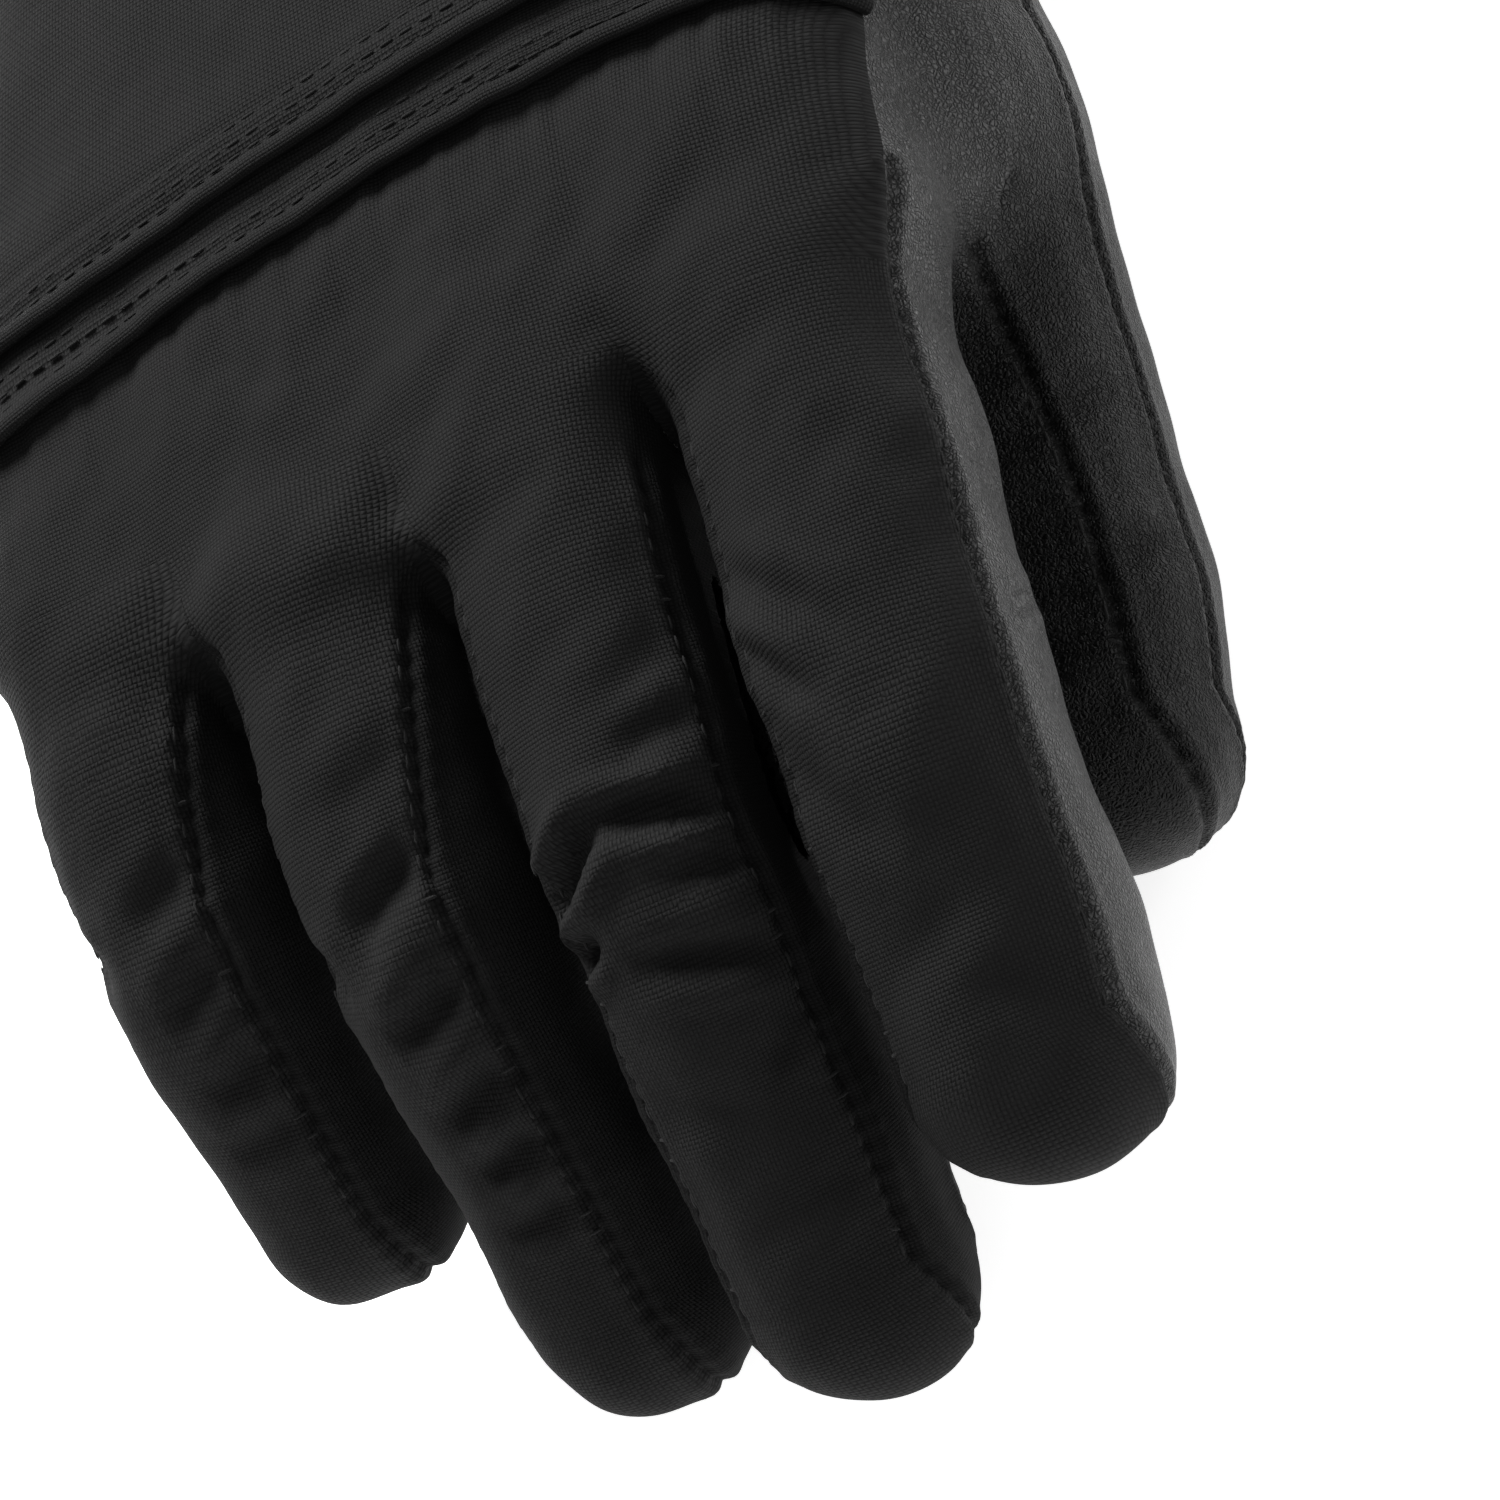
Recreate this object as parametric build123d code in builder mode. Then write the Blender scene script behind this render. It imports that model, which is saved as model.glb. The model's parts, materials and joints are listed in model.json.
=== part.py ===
"""Ski glove for a right hand, lying palm down on its fingertips, thumb and cuff.

Frame: -Y points to the fingertips, +X to the thumb side, +Z out of the back of the hand.
The origin is the middle of the glove's outline, on the surface it lies on.  Millimetres.

Every digit is a pair of sewn tubes.  Each joint is a knuckle: the tube nearer the hand ends in a
hollow cylinder about the joint's axis, and the next tube starts with a barrel that turns in it.
"""

import os
from math import cos, radians, sin

from build123d import *

os.makedirs("parts", exist_ok=True)

# Where the finger-crotch line of the hand stands in the glove's own frame.
HAND_X = 2.0
HAND_Y = -36.6

# Layers, from the outside in.
SHELL = 1.6  # woven face or leather with its foam backing
LINER = 2.8  # insulation and brushed lining

# Knuckles.
SOCKET_RATIO = 1.25  # socket radius over the digit's half height, which sets the largest bend
KNUCKLE_GAP = 0.4
TIP_FLAT = 2.2  # what a fingertip's rounding leaves flat
CORNER_FLAT = 1.2  # what a digit section's corners leave straight

# Seams, as shares of the digit's half height above or below its middle.
BACK_SEAM = 0.25
PALM_SEAM = -0.35
FOURCHETTE_END = 4  # how far past the centre of the tip the side strips run

# Sections of the hand and cuff: y, centre x, centre z, width, height, corner radius, roll.
KNUCKLE_STATION = (-6, -5, 58, 112.6, 29.5, 14, 4)
PALM_STATION = (45, -4, 54, 112, 41, 16, 3)
WRIST_STATION = (97, -2, 47, 90, 50, 20, 0)
CUFF_STATION = (166, -2, 39, 124, 78, 34, 0)
BINDING_STATION = (170, -2, 39, 125, 78, 34, 0)
WRIST_HINGE = (97, 47)
WRIST_SOCKET = 27.5
MOUTH_LIP = 2.0  # how far the binding stands past the cuff's lining

# Layers on the back of the hand.
HEM_Y = 28  # edge of the lower hem
HEM_STEP = 8.7  # from the lower hem's edge to the upper one's
HEM_OVERLAP = 9.5  # how far each layer runs on under the next
HEM_LIFT = 1.2  # thickness of each hem layer
PIPING = 2.0

# Wrist strap.
STRAP_Y = 103
STRAP_WIDTH = 22
STRAP_REACH = (-28, 28)
STRAP_THICK = 1.5
TAB_REACH = (-15, 19)
RING_BAR = 3.0


def at(x, y, z):
    """A point given from the finger-crotch line, in the glove's own frame."""
    return Vector(x + HAND_X, y + HAND_Y, z)


class Digit:
    """A finger or the thumb: the plane it bends in, its two hinges, its tip and its section."""

    def __init__(self, name, origin, distal, back, mid, tip, half_width, half_height):
        self.name = name
        self.frame = Plane(origin=origin, x_dir=distal, z_dir=Vector(*distal).cross(Vector(*back)))
        self.base = Vector(0, 0)
        self.mid = Vector(*mid)
        self.tip = Vector(*tip)
        self.width = 2 * half_width
        self.height = 2 * half_height
        self.socket = SOCKET_RATIO * half_height
        self.corner = min(half_width, half_height) - CORNER_FLAT

    def place(self, point):
        """A point of the bending plane in the glove's frame."""
        return self.frame.from_local_coords(point)

    def axis(self):
        """The hinge axis about which the digit curls towards the palm."""
        return self.frame.z_dir * -1

    def section(self, point, towards, back_off):
        """The plane across the digit at a point, set back along the digit by back_off."""
        local = (towards - point).normalized()
        direction = self.place(point + local) - self.place(point)
        origin = self.place(point - local * back_off)
        return Plane(origin=origin, x_dir=self.axis(), z_dir=direction)


def finger(name, x, hinge, mid, tip, half_width, half_height):
    """A finger that bends in the upright plane at x; hinge, mid and tip are (y, z) points."""
    centre = at(x, hinge[0], hinge[1])
    steps = [(hinge[0] - p[0], p[1] - hinge[1]) for p in (mid, tip)]
    return Digit(name, centre, (0, -1, 0), (0, 0, 1), *steps, half_width, half_height)


FINGERS = [
    finger("index", 36, (-10, 59.5), (-42, 54), (-73, 37), 14.7, 15),
    finger("middle", 7, (-15, 60), (-47, 51.5), (-81, 21.5), 13.8, 14.6),
    finger("ring", -20.7, (-16, 58), (-43, 47), (-70, 15.6), 13.6, 14.4),
    finger("pinky", -48, (-12, 54), (-32, 43.5), (-49, 21), 13.2, 13.4),
]

THUMB_PITCH = radians(15.5)
THUMB_SIZE = 15
THUMB_STALL = 22  # from the thumb's base hinge to its middle one
THUMB_LENGTH = 36.5  # from the base hinge to the centre of the tip
THUMB = Digit(
    "thumb",
    at(44.6, 6, 25.3),
    (0, -cos(THUMB_PITCH), -sin(THUMB_PITCH)),
    (1, 0, 0),
    (THUMB_STALL, 0),
    (THUMB_LENGTH, -1.5),
    THUMB_SIZE,
    THUMB_SIZE,
)
GUSSET_ROOT = (30, 62, 50)
GUSSET_GROWTH = 2  # how much wider the gusset is at its root


def knuckle_band(digit, low, high, gap):
    """The cylinder about a finger's base hinge that its barrel turns in, from x low to high."""
    centre = digit.place(digit.base)
    plane = Plane(origin=(low, centre.Y, centre.Z), x_dir=(0, 1, 0), z_dir=(1, 0, 0))
    with BuildPart() as band:
        with BuildSketch(plane):
            Circle(digit.socket + gap)
        extrude(amount=high - low)
    return band.part


def proximal_solid(digit, inset):
    """The outer or inner volume of a digit's first tube, inset from its outside."""
    direction = (digit.mid - digit.base).normalized()
    length = (digit.mid - digit.base).length
    with BuildPart() as tube:
        with BuildSketch(digit.section(digit.base, digit.mid, digit.socket)):
            RectangleRounded(
                digit.width - 2 * inset, digit.height - 2 * inset, digit.corner - inset
            )
        extrude(amount=2 * digit.socket + length)
        with BuildSketch(digit.frame):
            Circle(digit.socket)
            with Locations(digit.base + direction * length / 2):
                Rectangle(length, 3 * digit.height, rotation=bend_of(direction))
            with Locations(digit.mid):
                Circle(digit.socket + KNUCKLE_GAP, mode=Mode.SUBTRACT)
        extrude(amount=digit.width, both=True, mode=Mode.INTERSECT)
    return tube.part


def distal_solid(digit, inset):
    """The outer or inner volume of a digit's second tube, closed at the fingertip."""
    direction = (digit.tip - digit.mid).normalized()
    reach = (digit.tip - digit.mid).length + digit.height / 2 - inset
    plane = digit.section(digit.mid, digit.tip, digit.socket)
    with BuildPart() as tube:
        with BuildSketch(plane):
            RectangleRounded(
                digit.width - 2 * inset, digit.height - 2 * inset, digit.corner - inset
            )
        extrude(amount=digit.socket + reach)
        tip_face = tube.faces().sort_by(Axis(plane.origin, plane.z_dir))[-1]
        fillet(tip_face.edges(), digit.corner - inset - TIP_FLAT + CORNER_FLAT)
        with BuildSketch(digit.frame):
            with Locations(digit.mid):
                Circle(digit.socket)
            with Locations(digit.mid + direction * reach):
                Rectangle(2 * reach, 3 * digit.height, rotation=bend_of(direction))
        extrude(amount=digit.width, both=True, mode=Mode.INTERSECT)
    return tube.part


def bend_of(direction):
    """Angle of a direction in the bending plane, in degrees."""
    return Vector(1, 0).get_signed_angle(direction, Vector(0, 0, 1))


def layer(outer, inner):
    """The wall between two volumes."""
    with BuildPart() as wall:
        add(outer)
        add(inner, mode=Mode.SUBTRACT)
    return wall.part


def write(name, solid):
    """Labels one finished piece and writes it as a STEP file."""
    solid.label = name
    export_step(solid, f"parts/{name}.step")
    print(name, round(solid.volume))


def panels(digit, stall, outer, inner, plane, strip_end):
    """Splits a tube's shell at its seams: back panel, palm panel and the strips between."""
    shell = layer(outer, inner)
    back_seam = plane.y_dir * digit.height / 2 * BACK_SEAM
    palm_seam = plane.y_dir * digit.height / 2 * PALM_SEAM
    back_cut = Plane(origin=plane.origin + back_seam, z_dir=plane.y_dir)
    palm_cut = Plane(origin=plane.origin + palm_seam, z_dir=plane.y_dir)
    side_cut = Plane(origin=plane.origin, z_dir=plane.x_dir)
    end_cut = plane.offset(strip_end)

    with BuildPart() as back:
        add(shell)
        split(bisect_by=back_cut, keep=Keep.TOP)
    write(f"{digit.name}_{stall}_back", back.part)

    with BuildPart() as fourchettes:
        add(shell)
        split(bisect_by=back_cut, keep=Keep.BOTTOM)
        split(bisect_by=palm_cut, keep=Keep.TOP)
        split(bisect_by=end_cut, keep=Keep.BOTTOM)
        if digit.name == "index":
            split(bisect_by=side_cut, keep=Keep.BOTTOM)
    write(f"{digit.name}_{stall}_fourchettes", fourchettes.part)

    with BuildPart() as palm:
        add(shell)
        split(bisect_by=back_cut, keep=Keep.BOTTOM)
        add(fourchettes.part, mode=Mode.SUBTRACT)
    write(f"{digit.name}_{stall}_palm", palm.part)


# Fingers: four panels and a liner to each stall.
for digit in FINGERS:
    for stall, solid, start, end in (
        ("proximal", proximal_solid, digit.base, digit.mid),
        ("distal", distal_solid, digit.mid, digit.tip),
    ):
        outer, middle, inner = [solid(digit, inset) for inset in (0, SHELL, SHELL + LINER)]
        plane = digit.section(start, end, 0)
        panels(digit, stall, outer, middle, plane, (end - start).length + FOURCHETTE_END)
        write(f"{digit.name}_{stall}_liner", layer(middle, inner))

# Thumb: an outer and an inner leather, and a liner, to each stall.
for stall, solid, plane in (
    ("proximal", proximal_solid, THUMB.section(THUMB.base, THUMB.mid, 0)),
    ("distal", distal_solid, THUMB.section(THUMB.mid, THUMB.tip, 0)),
):
    outer, middle, inner = [solid(THUMB, inset) for inset in (0, SHELL, SHELL + LINER)]
    shell = layer(outer, middle)
    middle_cut = Plane(origin=plane.origin, z_dir=plane.y_dir)
    for side, keep in (("outer", Keep.TOP), ("inner", Keep.BOTTOM)):
        with BuildPart() as leather:
            add(shell)
            split(bisect_by=middle_cut, keep=keep)
        write(f"thumb_{stall}_{side}", leather.part)
    write(f"thumb_{stall}_liner", layer(middle, inner))


def station_plane(station):
    """The plane of one section across the hand or the cuff."""
    y, x, z, _, _, _, roll = station
    tilt = radians(roll)
    return Plane(origin=at(x, y, z), x_dir=(cos(tilt), 0, sin(tilt)), z_dir=(0, 1, 0))


def body_loft(stations, grow):
    """The volume through several sections, grown or shrunk all round."""
    with BuildPart() as body:
        for station in stations:
            with BuildSketch(station_plane(station)):
                width, height, corner = station[3:6]
                RectangleRounded(width + 2 * grow, height + 2 * grow, corner + grow)
        loft(ruled=True)
    return body.part


def wrist_drum(radius):
    """The cylinder about the wrist's hinge axis, as wide as the glove."""
    centre = at(0, *WRIST_HINGE)
    plane = Plane(origin=(-100, centre.Y, centre.Z), x_dir=(0, 1, 0), z_dir=(1, 0, 0))
    with BuildPart() as drum:
        with BuildSketch(plane):
            Circle(radius)
        extrude(amount=200)
    return drum.part


def y_slice(low, high):
    """A block that keeps what lies between two stations along the hand."""
    centre = at(0, (low + high) / 2, 50)
    with BuildPart() as block:
        with BuildSketch(Plane.XY.offset(-50)):
            with Locations((centre.X, centre.Y)):
                Rectangle(300, high - low)
        extrude(amount=250)
    return block.part


def gusset_solid(inset):
    """The thumb's root: a cone from its base hinge up into the side of the palm."""
    hinge = THUMB.place(THUMB.base)
    root = at(*GUSSET_ROOT)
    direction = hinge - root
    with BuildPart() as cone:
        for centre, size in ((root, THUMB_SIZE + GUSSET_GROWTH), (hinge, THUMB_SIZE)):
            with BuildSketch(Plane(origin=centre, x_dir=(1, 0, 0), z_dir=direction)):
                Circle(size - inset)
        loft()
        add(thumb_socket, mode=Mode.SUBTRACT)
    return cone.part


# Shared cutters of the hand body.
band_edges = [at(x, 0, 0).X for x in (60, 21.05, -6.95, -34.55, -75)]
finger_sockets = [
    knuckle_band(digit, low, high, KNUCKLE_GAP)
    for digit, high, low in zip(FINGERS, band_edges[:-1], band_edges[1:])
]
with BuildPart() as thumb_drum:
    with BuildSketch(THUMB.frame):
        Circle(THUMB.socket + KNUCKLE_GAP)
    extrude(amount=THUMB_SIZE + 2 * KNUCKLE_GAP, both=True)
thumb_socket = thumb_drum.part

hand_stations = [KNUCKLE_STATION, PALM_STATION, WRIST_STATION]
hand_outer = body_loft(hand_stations, 0)
hand_middle = body_loft(hand_stations, -SHELL)
hand_inner = body_loft(hand_stations, -SHELL - LINER)
gusset_outer = gusset_solid(0)
gusset_middle = gusset_solid(SHELL)
gusset_inner = gusset_solid(SHELL + LINER)
wrist_socket = wrist_drum(WRIST_SOCKET + KNUCKLE_GAP)
back_cut = Plane(
    origin=station_plane(PALM_STATION).origin,
    z_dir=(-sin(radians(PALM_STATION[6])), -0.06, 1),
)


def open_hand(solid):
    """Takes the finger knuckles, the thumb's root and the wrist joint out of a hand layer."""
    with BuildPart() as piece:
        add(solid)
        for cutter in (*finger_sockets, thumb_socket, wrist_socket, gusset_inner):
            add(cutter, mode=Mode.SUBTRACT)
    return piece.part


def hand_panel(outer, inner, low, high, keep):
    """A stretch of a hand layer on its back or palm side."""
    with BuildPart() as panel:
        add(open_hand(layer(outer, inner)))
        add(y_slice(low, high), mode=Mode.INTERSECT)
        split(bisect_by=back_cut, keep=keep)
    return panel.part


# Back of the hand: the knuckle panel, then two hems that overlap it like shingles.
hand_front = KNUCKLE_STATION[0]
wrist_end = WRIST_STATION[0]
band_end = HEM_Y + HEM_STEP + HEM_OVERLAP
write("knuckle_panel", hand_panel(hand_outer, hand_middle, hand_front, band_end, Keep.TOP))

first_lift = body_loft(hand_stations, HEM_LIFT)
second_lift = body_loft(hand_stations, 2 * HEM_LIFT)
piping_lift = body_loft(hand_stations, HEM_LIFT + PIPING / 2)
upper_piping_lift = body_loft(hand_stations, 2 * HEM_LIFT + PIPING / 2)
upper_hem = HEM_Y + HEM_STEP
write("lower_piping", hand_panel(piping_lift, hand_outer, HEM_Y, HEM_Y + PIPING, Keep.TOP))
write("pleat_band", hand_panel(first_lift, hand_outer, HEM_Y + PIPING, band_end, Keep.TOP))
write(
    "upper_piping",
    hand_panel(upper_piping_lift, first_lift, upper_hem, upper_hem + PIPING, Keep.TOP),
)

with BuildPart() as upper_back:
    add(hand_panel(second_lift, first_lift, upper_hem + PIPING, band_end, Keep.TOP))
    add(hand_panel(second_lift, hand_middle, band_end, band_end + SHELL, Keep.TOP))
    add(hand_panel(hand_outer, hand_middle, band_end + SHELL, wrist_end, Keep.TOP))
write("upper_back_panel", upper_back.part)

# Palm side: the leather palm, its reinforcing patch and the thumb's gusset.
with BuildPart() as palm:
    add(hand_panel(hand_outer, hand_middle, hand_front, wrist_end, Keep.BOTTOM))
    add(gusset_outer, mode=Mode.SUBTRACT)
write("palm_panel", palm.part)

PATCH_THICK = 1.2
PATCH_REACH = (18, 66)
PATCH_X = (-46, 14)
with BuildPart() as patch:
    add(body_loft(hand_stations, PATCH_THICK))
    add(hand_outer, mode=Mode.SUBTRACT)
    with BuildSketch(Plane.XY):
        low_corner = at(PATCH_X[0], PATCH_REACH[0], 0)
        high_corner = at(PATCH_X[1], PATCH_REACH[1], 0)
        with Locations((low_corner + high_corner) / 2):
            RectangleRounded(PATCH_X[1] - PATCH_X[0], PATCH_REACH[1] - PATCH_REACH[0], 12)
    extrude(amount=PALM_STATION[2], mode=Mode.INTERSECT)
    add(gusset_outer, mode=Mode.SUBTRACT)
write("palm_patch", patch.part)

with BuildPart() as gusset:
    add(gusset_outer)
    add(gusset_middle, mode=Mode.SUBTRACT)
    add(hand_middle, mode=Mode.SUBTRACT)
    split(bisect_by=back_cut, keep=Keep.BOTTOM)
write("thumb_gusset", gusset.part)

with BuildPart() as gusset_liner:
    add(gusset_middle)
    add(gusset_inner, mode=Mode.SUBTRACT)
    add(hand_middle, mode=Mode.SUBTRACT)
    add(palm.part, mode=Mode.SUBTRACT)
    split(bisect_by=back_cut, keep=Keep.BOTTOM)
write("gusset_liner", gusset_liner.part.solids().sort_by(SortBy.VOLUME)[-1])

with BuildPart() as hand_liner:
    add(open_hand(layer(hand_middle, hand_inner)))
write("hand_liner", hand_liner.part)

# Wrist and cuff.
cuff_stations = [WRIST_STATION, CUFF_STATION]
gaiter_back = WRIST_STATION[0] - WRIST_SOCKET


def wrist_barrel(inset):
    """The part of the cuff that turns inside the end of the hand."""
    start = station_plane((gaiter_back, *WRIST_STATION[1:]))
    with BuildPart() as barrel:
        with BuildSketch(start):
            width, height, corner = WRIST_STATION[3:6]
            RectangleRounded(width - 2 * inset, height - 2 * inset, corner - inset)
        extrude(amount=WRIST_SOCKET)
        add(wrist_drum(WRIST_SOCKET), mode=Mode.INTERSECT)
    return barrel.part


write("wrist_gaiter", layer(wrist_barrel(0), wrist_barrel(SHELL)))

cuff_outer = body_loft(cuff_stations, 0)
cuff_middle = body_loft(cuff_stations, -SHELL)
cuff_inner = body_loft(cuff_stations, -SHELL - LINER)
cuff_shell = layer(cuff_outer, cuff_middle)
write("cuff_shell", cuff_shell)

with BuildPart() as cuff_lining:
    add(cuff_middle)
    add(wrist_barrel(SHELL))
    add(cuff_inner, mode=Mode.SUBTRACT)
    add(wrist_barrel(SHELL + LINER), mode=Mode.SUBTRACT)
write("cuff_lining", cuff_lining.part)

binding_stations = [CUFF_STATION, BINDING_STATION]
write(
    "cuff_binding",
    layer(body_loft(binding_stations, 0), body_loft(binding_stations, -SHELL - LINER - MOUTH_LIP)),
)

# Wrist strap, its ring and the tab that peels open.
cuff_rise = (CUFF_STATION[4] - WRIST_STATION[4]) / 2 + CUFF_STATION[2] - WRIST_STATION[2]
cuff_run = CUFF_STATION[0] - WRIST_STATION[0]
strap_middle = STRAP_Y + STRAP_WIDTH / 2
strap_top = (
    WRIST_STATION[2]
    + WRIST_STATION[4] / 2
    + cuff_rise * (strap_middle - WRIST_STATION[0]) / cuff_run
)
strap_plane = Plane(
    origin=at(0, strap_middle, strap_top), x_dir=(1, 0, 0), z_dir=(0, -cuff_rise, cuff_run)
)


def strap_plate(x_reach, y_reach, z_reach, corner):
    """A flat piece on the back of the cuff, from its reaches in the strap's own plane."""
    with BuildPart() as plate:
        with BuildSketch(strap_plane.offset(z_reach[0])):
            with Locations((sum(x_reach) / 2, sum(y_reach) / 2)):
                RectangleRounded(x_reach[1] - x_reach[0], y_reach[1] - y_reach[0], corner)
        extrude(amount=z_reach[1] - z_reach[0])
    return plate.part


half_strap = STRAP_WIDTH / 2
patch_top = STRAP_THICK + 0.8
tab_top = patch_top + 3.2
edge = 1.0
write("wrist_strap", strap_plate(STRAP_REACH, (-half_strap, half_strap), (0, STRAP_THICK), edge))
write(
    "loop_patch",
    strap_plate((TAB_REACH[0] + 4, 30), (2 - half_strap, half_strap - 2), (STRAP_THICK, patch_top), edge),
)
ring_reach = (STRAP_REACH[0] + 1, TAB_REACH[0] - 1)
ring_width = half_strap + RING_BAR - 1
with BuildPart() as ring:
    with BuildSketch(strap_plane.offset(STRAP_THICK + 0.3)):
        with Locations((sum(ring_reach) / 2, 0)):
            RectangleRounded(ring_reach[1] - ring_reach[0], 2 * ring_width, 2)
            RectangleRounded(
                ring_reach[1] - ring_reach[0] - 2 * RING_BAR, 2 * (ring_width - RING_BAR), 1,
                mode=Mode.SUBTRACT,
            )
    extrude(amount=2.2)
write("strap_ring", ring.part)
keeper_reach = (ring_reach[0] + RING_BAR + 0.3, ring_reach[0] + RING_BAR + 2.3)
write(
    "ring_keeper",
    strap_plate(keeper_reach, (3 - half_strap, half_strap - 3), (STRAP_THICK, tab_top - 1.2), 0.6),
)
tab_low = patch_top + 1.1
write(
    "hook_patch",
    strap_plate((TAB_REACH[0] + 6, TAB_REACH[1] - 6), (3 - half_strap, half_strap - 3),
                (tab_low - 0.8, tab_low), edge),
)
write(
    "strap_tab",
    strap_plate(TAB_REACH, (1 - half_strap, half_strap - 1), (tab_low, tab_low + STRAP_THICK), 3),
)
TAB_HINGE = strap_plane.from_local_coords(Vector(TAB_REACH[0], 0, tab_low + STRAP_THICK / 2))

# Webbing pull loop sewn flat on the back of the cuff, near its mouth.
LOOP_WIDTH = 10
LOOP_LENGTH = 26
LOOP_THICK = 1.6
LOOP_GAP = 4.6
loop_origin = at(-2, CUFF_STATION[0] - 18, CUFF_STATION[2] + CUFF_STATION[4] / 2 - 1.1)
with BuildPart() as pull_loop:
    with BuildSketch(Plane(origin=loop_origin, x_dir=(0, 1, 0), z_dir=(1, 0, 0))):
        SlotOverall(LOOP_LENGTH, LOOP_GAP + 2 * LOOP_THICK)
        SlotOverall(LOOP_LENGTH - 2 * LOOP_THICK, LOOP_GAP, mode=Mode.SUBTRACT)
    extrude(amount=LOOP_WIDTH / 2, both=True)
    add(cuff_outer, mode=Mode.SUBTRACT)
write("pull_loop", pull_loop.part)
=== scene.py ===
"""Looks of the ski glove: skins, hems, stitches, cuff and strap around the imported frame.

Lengths are millimetres in the glove's frame until a mesh is made, and then metres.
"""

import json
import math

import bmesh
import bpy
import numpy as np
from mathutils import Matrix, Vector


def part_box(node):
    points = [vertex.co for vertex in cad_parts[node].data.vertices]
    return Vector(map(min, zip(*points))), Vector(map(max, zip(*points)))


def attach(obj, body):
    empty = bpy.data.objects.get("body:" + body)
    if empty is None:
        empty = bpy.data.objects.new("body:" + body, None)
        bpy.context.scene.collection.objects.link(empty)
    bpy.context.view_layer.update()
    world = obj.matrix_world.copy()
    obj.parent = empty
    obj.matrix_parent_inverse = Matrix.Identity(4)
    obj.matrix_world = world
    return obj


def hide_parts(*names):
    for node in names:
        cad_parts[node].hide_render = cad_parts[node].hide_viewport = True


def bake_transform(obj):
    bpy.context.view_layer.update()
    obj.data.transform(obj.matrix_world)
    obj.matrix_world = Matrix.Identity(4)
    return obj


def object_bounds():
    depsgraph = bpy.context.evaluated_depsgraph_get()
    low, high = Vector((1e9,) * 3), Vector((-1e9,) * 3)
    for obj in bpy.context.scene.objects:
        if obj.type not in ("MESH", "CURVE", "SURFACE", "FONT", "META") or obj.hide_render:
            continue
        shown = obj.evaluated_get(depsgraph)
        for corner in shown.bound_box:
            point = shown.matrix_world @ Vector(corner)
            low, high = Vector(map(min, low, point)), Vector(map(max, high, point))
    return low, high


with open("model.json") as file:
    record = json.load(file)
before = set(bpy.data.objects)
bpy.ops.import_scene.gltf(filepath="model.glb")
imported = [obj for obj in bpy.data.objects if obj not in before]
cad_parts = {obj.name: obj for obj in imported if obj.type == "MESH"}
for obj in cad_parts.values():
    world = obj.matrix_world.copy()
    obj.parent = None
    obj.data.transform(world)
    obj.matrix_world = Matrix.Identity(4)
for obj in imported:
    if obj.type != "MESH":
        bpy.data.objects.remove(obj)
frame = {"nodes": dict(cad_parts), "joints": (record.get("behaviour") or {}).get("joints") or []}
cad_low, cad_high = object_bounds()

MM = 0.001
PIVOT = {j["name"]: np.array(j["pos_m"]) / MM for j in frame["joints"]}
CELL = 0.7  # of the grid that the skins are meshed on
WALL = 0.9  # thickness of a cloth or leather skin


def box(node):
    low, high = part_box(node)
    return np.array(low) / MM, np.array(high) / MM


# ---------------------------------------------------------------- shape of the hand and digits

FRONT = box("knuckle_panel")[0][1]  # the finger-crotch line
WRIST = PIVOT["wrist_flex"][1]
CROTCH = FRONT + 6.0
HAND_X = 2.0
HAND_STATIONS = np.array([  # y from the crotch line, centre x, centre z, width, height, roll
    (-6, -3, 58, 112.6, 30, 4),
    (20, -2.6, 57.2, 113.2, 35.5, 3.6),
    (45, -2, 54.6, 112.5, 41, 3),
    (75, -1, 51, 100, 46, 1.5),
    (97, 0, 48, 90, 49, 0),
    (115, 0, 47, 88, 49, 0),
], float)
HAND_POWER = 3.0
# How far forward the web of the hand reaches, from the little finger's side to the index's.
WEB = np.array([(-62, 1), (-34, -10.5), (-7, -11.5), (20, -2.5), (52, 4)], float)


def smin(a, b, k):
    """The smaller of two fields, rounded over a width k where they meet."""
    h = np.maximum(k - np.abs(a - b), 0) / k
    return np.minimum(a, b) - h * h * k * 0.25


def run_length(points):
    """Distance along a line of points, at each of them."""
    return np.r_[0, np.cumsum(np.linalg.norm(np.diff(points, axis=0), axis=1))]


def unit(vectors):
    return vectors / np.linalg.norm(vectors, axis=1)[:, None]


def bell(distance, width):
    return np.exp(-((distance / width) ** 2))


def round_off(c, s, power):
    """Distance to a squared-off circle's edge along a direction (c, s)."""
    return (np.abs(c) ** power + np.abs(s) ** power) ** (-1 / power)


def smooth_step(low, high, v):
    t = np.clip((v - low) / (high - low), 0, 1)
    return t * t * (3 - 2 * t)


def hand_station(back):
    """Centre x and z, width, height and roll of the hand at a distance past the crotch line."""
    return (np.interp(back, HAND_STATIONS[:, 0], HAND_STATIONS[:, i]) for i in range(1, 6))


def hand_field(x, y, z):
    """Roughly the distance outside the hand's own surface; below zero inside."""
    cx, cz, wide, tall, roll = hand_station(y - CROTCH)
    angle = np.radians(roll)
    dx, dz = x - cx, z - cz
    px = dx * np.cos(angle) + dz * np.sin(angle)
    pz = dz * np.cos(angle) - dx * np.sin(angle)
    r = (np.abs(px / (wide / 2)) ** HAND_POWER + np.abs(pz / (tall / 2)) ** HAND_POWER) ** (
        1 / HAND_POWER
    )
    across = (r - 1) * tall / 2 * 0.9
    front = np.interp(x - HAND_X, WEB[:, 0], WEB[:, 1]) + CROTCH - y
    return -smin(-across, -front, 9.0)


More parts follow.
